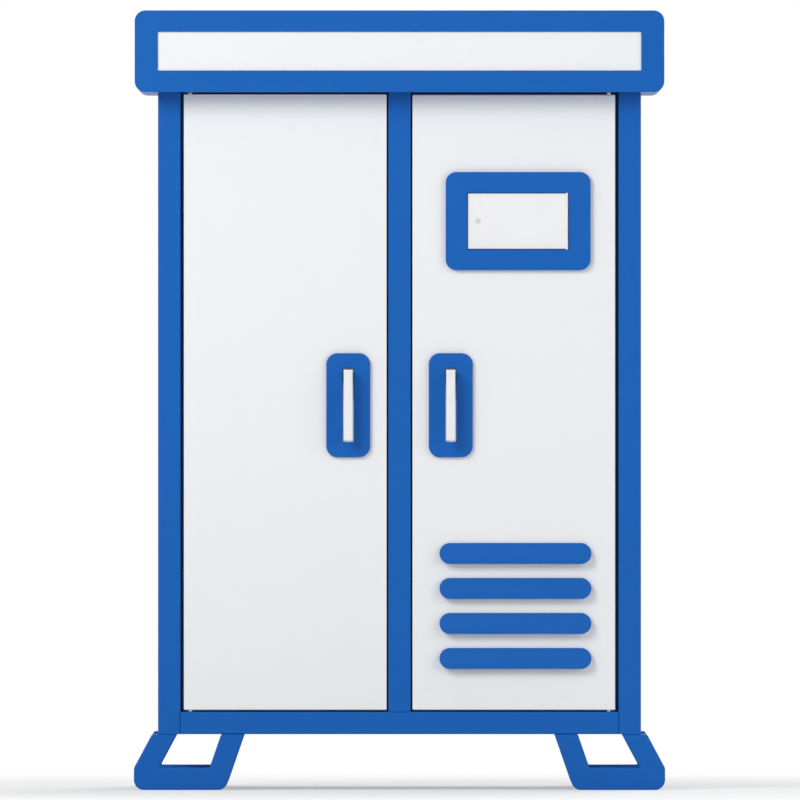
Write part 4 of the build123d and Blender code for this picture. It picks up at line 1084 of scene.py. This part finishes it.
def dressController():
    # Screen glass, keys, round and flat connectors, fuses, a rocker and two grips.
    spots = {
        "screen": (38, 119, 190, 189), "ports": ((226, 76), (284, 76)),
        "keys": [(x, z) for x in (244, 268, 292, 316) for z in (126, 145, 164, 183)],
        "connectors": ((19, 44, 52), (22, 98, 52), (25, 160, 52)),  # radius first
        "pins": ((0.6, 12), (0.3, 6)),  # share of the radius, and count
        "fuses": ((214, 36), (240, 36)), "rocker": (276, 36),
    }
    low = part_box("controller_unit")[0]
    face = low[1] + 2 * mm
    front = (low[0], face, low[2])
    screenGlass("controllerScreen", front, *spots["screen"])
    repeated(keyCap(15 * mm, 13 * mm, 3 * mm), "controllerKeys",
             onFront((low[0], face - 2 * mm, low[2]), *spots["keys"]), "grey_plastic")
    for number, (radius, right, up) in enumerate(spots["connectors"]):
        x, y, z = place = onFront(front, (right, up))[0]
        repeated(roundConnector(radius * mm, 15 * mm), f"controllerConnector{number}", [place],
                 "zinc")
        ring = [(x + radius * share * mm * math.cos(turn), y - 4.5 * mm,
                 z + radius * share * mm * math.sin(turn)) for share, count in spots["pins"]
                for turn in [2 * math.pi * i / count for i in range(count)]]
        repeated(domeLens(1.5 * mm, 5 * mm), f"controllerPins{number}", ring, "brass_bar")
    repeated(dataConnector(38 * mm, 11 * mm), "controllerPorts",
             onFront(front, *spots["ports"]), "zinc")
    repeated(domeLens(7.5 * mm, 12 * mm), "controllerFuses", onFront(front, *spots["fuses"]),
             "black_plastic")
    repeated(keyCap(15 * mm, 24 * mm, 5 * mm), "controllerRocker",
             onFront(front, spots["rocker"]), "black_plastic")
    endGrips("controllerGrips", "controller_unit", face, 13, 110, 26, 3.5)


def dressMonitor():
    # Lamps in three columns, a reset key, a plug and two grips.
    spots = {
        "screen": (-42, 137, 42, 171), "columns": (-34, -18, -2),
        "rows": range(24, 115, 9), "reset": (34, 104), "port": (34, 46),
    }
    low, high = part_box("conflict_monitor")
    front = ((low[0] + high[0]) / 2, low[1], low[2])
    screenGlass("monitorScreen", front, *spots["screen"])
    for column, lens in enumerate((redLens, amberLens, greenLens)):
        lamps = [(spots["columns"][column], up) for up in spots["rows"]]
        lampRow(f"monitorLamps{column}", onFront(front, *lamps), lens)
    repeated(keyCap(13 * mm, 13 * mm, 5 * mm), "monitorReset", onFront(front, spots["reset"]),
             "red_plastic")
    repeated(dataConnector(26 * mm, 10 * mm), "monitorPort",
             onFront(front, spots["port"]), "zinc")
    endGrips("monitorGrips", "conflict_monitor", low[1], 8, 120, 24, 3)


def dressDetectors():
    # Each card's lamps, switch block, knob and finger grip.
    up = {"lamps": 116, "switches": 88, "knob": 62, "grip": 30}
    node = "detector_cards"
    lampRow("detectorLampsA", onEach(node, up["lamps"], -9), redLens)
    lampRow("detectorLampsB", onEach(node, up["lamps"], 9), greenLens)
    repeated(keyCap(20 * mm, 26 * mm, 3 * mm), "detectorSwitches",
             onEach(node, up["switches"]), "black_plastic")
    repeated(domeLens(5 * mm, 6 * mm), "detectorKnobs", onEach(node, up["knob"]),
             "grey_plastic")
    repeated(pullGrip(34 * mm, 17 * mm, 2.2 * mm), "detectorGrips",
             onEach(node, up["grip"]), "zinc")


def dressPowerUnit():
    # Two socket faces on the outlet, a pilot lamp and fuses.
    holes = ((-7.5, -5.5, -3, 6), (5.5, 7.5, -2, 5), (-2.5, 2.5, -10.5, -6))
    spots = {"outlet": 72, "sockets": (-20, 20), "column": 196, "lamp": 26, "fuses": (-2, -30)}
    low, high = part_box("power_unit")
    face = low[1] + 4 * mm
    x, middle = high[0] - spots["outlet"] * mm, (low[2] + high[2] - 6 * mm) / 2
    faces = []
    for up in spots["sockets"]:
        z = middle + up * mm
        socket = tile(x, face - 4 * mm, z, 34 * mm, 3 * mm, 28 * mm)
        softenAll(socket, 1.4 * mm, 3)
        for x0, x1, z0, z1 in holes:
            cutOut(socket, bar((x + x0 * mm, face - 9 * mm, z + z0 * mm),
                               (x + x1 * mm, face - 4.6 * mm, z + z1 * mm)))
        faces.append(socket)
    settle(joined(*faces), "outletFaces", "grey_plastic", finish=ivoryPlastic)
    front = (low[0] + spots["column"] * mm, face, middle)
    lampRow("powerLamp", onFront(front, (0, spots["lamp"])), amberLens, 6.0)
    repeated(domeLens(7.5 * mm, 12 * mm), "powerFuses",
             onFront(front, *[(0, up) for up in spots["fuses"]]), "black_plastic")


def dressMainPanel():
    # Grips and lamps on the load switches, and screws on the strips and bars.
    size = {"grip": 40, "lamps": (76, 85, 94),
            "poles": [24.5 + 46 * pole for pole in range(7)], "poleUp": 15 * mm,
            "poleApart": (-7.5, 7.5), "holes": range(15, 286, 30), "holeUp": 7 * mm}
    repeated(pullGrip(54 * mm, 18 * mm, 3 * mm), "switchGrips",
             onEach("load_switches", size["grip"]), "black_plastic")
    for row, lens in enumerate((greenLens, amberLens, redLens)):
        lampRow(f"switchLamps{row}", onEach("load_switches", size["lamps"][row]), lens)
    low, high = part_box("terminal_strips")
    places = [(low[0] + right * mm, low[1] + 11 * mm, z + up * mm) for right in size["poles"]
              for z in inside(low[2], high[2], size["poleUp"]) for up in size["poleApart"]]
    repeated(buttonScrew(4.2 * mm, 3.2 * mm), "stripScrews", places, "brass_bar")
    low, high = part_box("bus_bars")
    places = [(low[0] + right * mm, low[1], z) for right in size["holes"]
              for z in inside(low[2], high[2], size["holeUp"])]
    repeated(buttonScrew(4.2 * mm, 3.2 * mm), "barScrews", places, "zinc")


def dressUnitScrews():
    # Panel screws in the corners of the equipment fronts.
    corners = {  # in from the ends, and behind the foremost face
        "controller_unit": (26, 2), "conflict_monitor": (22, 0), "power_unit": (11, 4)}
    places = []
    for node, (inset, behind) in corners.items():
        low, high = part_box(node)
        places += [(x, low[1] + behind * mm, z) for x in inside(low[0], high[0], inset * mm)
                   for z in inside(low[2], high[2], 9 * mm)]
    repeated(buttonScrew(4.5 * mm, 3.0 * mm), "unitScrews", places, "zinc")


dressFrame()
print("frame dressed")
dressDoors()
print("doors dressed")
dressInside()
print("inside dressed")
dressController()
dressMonitor()
dressDetectors()
dressPowerUnit()
dressMainPanel()
dressUnitScrews()
print("equipment dressed")


# Studio: floor, world, lamps and camera

studio = {
    "floor": (0.86, 0.86, 0.86, 1), "shadow": (0.6, 2.2), "near glow": 0.35,
    "sky": (0.97, 0.985, 1.0, 1), "sky strength": 0.38, "white": (1, 1, 1, 1),
    "aim": (0, 0, 0.7),
    "lamps": {  # place, size and power
        "keyLamp": ((-2.6, -3.8, 3.2), 2.2, 128),
        "fillLamp": ((3.4, -3.0, 1.8), 2.6, 42),
        "backLamp": ((1.3, 3.2, 4.7), 2.4, 125),
    },
}


def studioFloor():
    # Pale floor that keeps the shadow near the cabinet and runs out to white.
    dropSelection()
    bpy.ops.mesh.primitive_plane_add(size=60, location=(0, 0, 0))
    floor = bpy.context.object
    floor.name = "studioFloor"
    pale = Finish("paleFloor", {"Base Color": studio["floor"], "Roughness": 0.9,
                                "Specular IOR Level": 0.0})
    place = pale.add("ShaderNodeTexCoord", output="Object")
    far = pale.add("ShaderNodeVectorMath", {"operation": "LENGTH"}, {0: place}, output="Value")
    near, out = studio["shadow"]
    fade = pale.add("ShaderNodeMapRange", {"interpolation_type": "SMOOTHSTEP"},
                    {"Value": far, "From Min": near, "From Max": out,
                     "To Min": studio["near glow"]})
    glow = pale.add("ShaderNodeEmission", None, {"Color": studio["white"], "Strength": 1.0})
    under = pale.add("ShaderNodeNewGeometry", output="Backfacing")
    clear = pale.add("ShaderNodeBsdfTransparent")
    above = pale.mixed(fade * pale.seen(), pale.coat, glow)
    pale.put(pale.surface, pale.mixed(under, above, clear))
    floor.data.materials.append(pale.material)


def studioWorld():
    # A soft sky that lights the cabinet, white where it is seen.
    world = bpy.data.worlds.new("studioWorld")
    world.use_nodes = True
    sky = Nodes(world.node_tree, "ShaderNodeOutputWorld")
    soft = sky.add("ShaderNodeBackground", None,
                   {"Color": studio["sky"], "Strength": studio["sky strength"]})
    white = sky.add("ShaderNodeBackground", None, {"Color": studio["white"]})
    sky.put(sky.surface, sky.mixed(sky.seen(), soft, white))
    bpy.context.scene.world = world


def studioLamps():
    for name, (place, size, power) in studio["lamps"].items():
        light = bpy.data.lights.new(name, "AREA")
        light.shape = "SQUARE"
        light.size = size
        light.energy = power
        lamp = bpy.data.objects.new(name, light)
        lamp.location = place
        aim = Vector(studio["aim"]) - Vector(place)
        lamp.rotation_euler = aim.to_track_quat("-Z", "Y").to_euler()
        bpy.context.collection.objects.link(lamp)


def studioCamera():
    # Square to the front, far away through a long lens, framed as the picture is.
    framing = {"lens": 1200.0, "sensor": 36.0, "frontY": -0.25, "bodyWidth": 0.900,
               "bodyPixels": 483.0, "imagePixels": 800.0, "groundPixel": 790.0,
               "middlePixel": 399.5}
    metresPerPixel = framing["bodyWidth"] / framing["bodyPixels"]
    middle = framing["imagePixels"] / 2
    distance = metresPerPixel * framing["imagePixels"] * framing["lens"] / framing["sensor"]
    lens = bpy.data.cameras.new("studioCamera")
    lens.lens = framing["lens"]
    lens.sensor_width = framing["sensor"]
    lens.clip_end = 200
    camera = bpy.data.objects.new("studioCamera", lens)
    camera.location = ((middle - framing["middlePixel"]) * metresPerPixel,
                       framing["frontY"] - distance,
                       (framing["groundPixel"] - middle) * metresPerPixel)
    camera.rotation_euler = (quarterTurn, 0, 0)
    bpy.context.collection.objects.link(camera)
    bpy.context.scene.camera = camera


studioFloor()
studioWorld()
studioLamps()
studioCamera()
bpy.context.scene.view_settings.view_transform = "Standard"
print("studio ready")
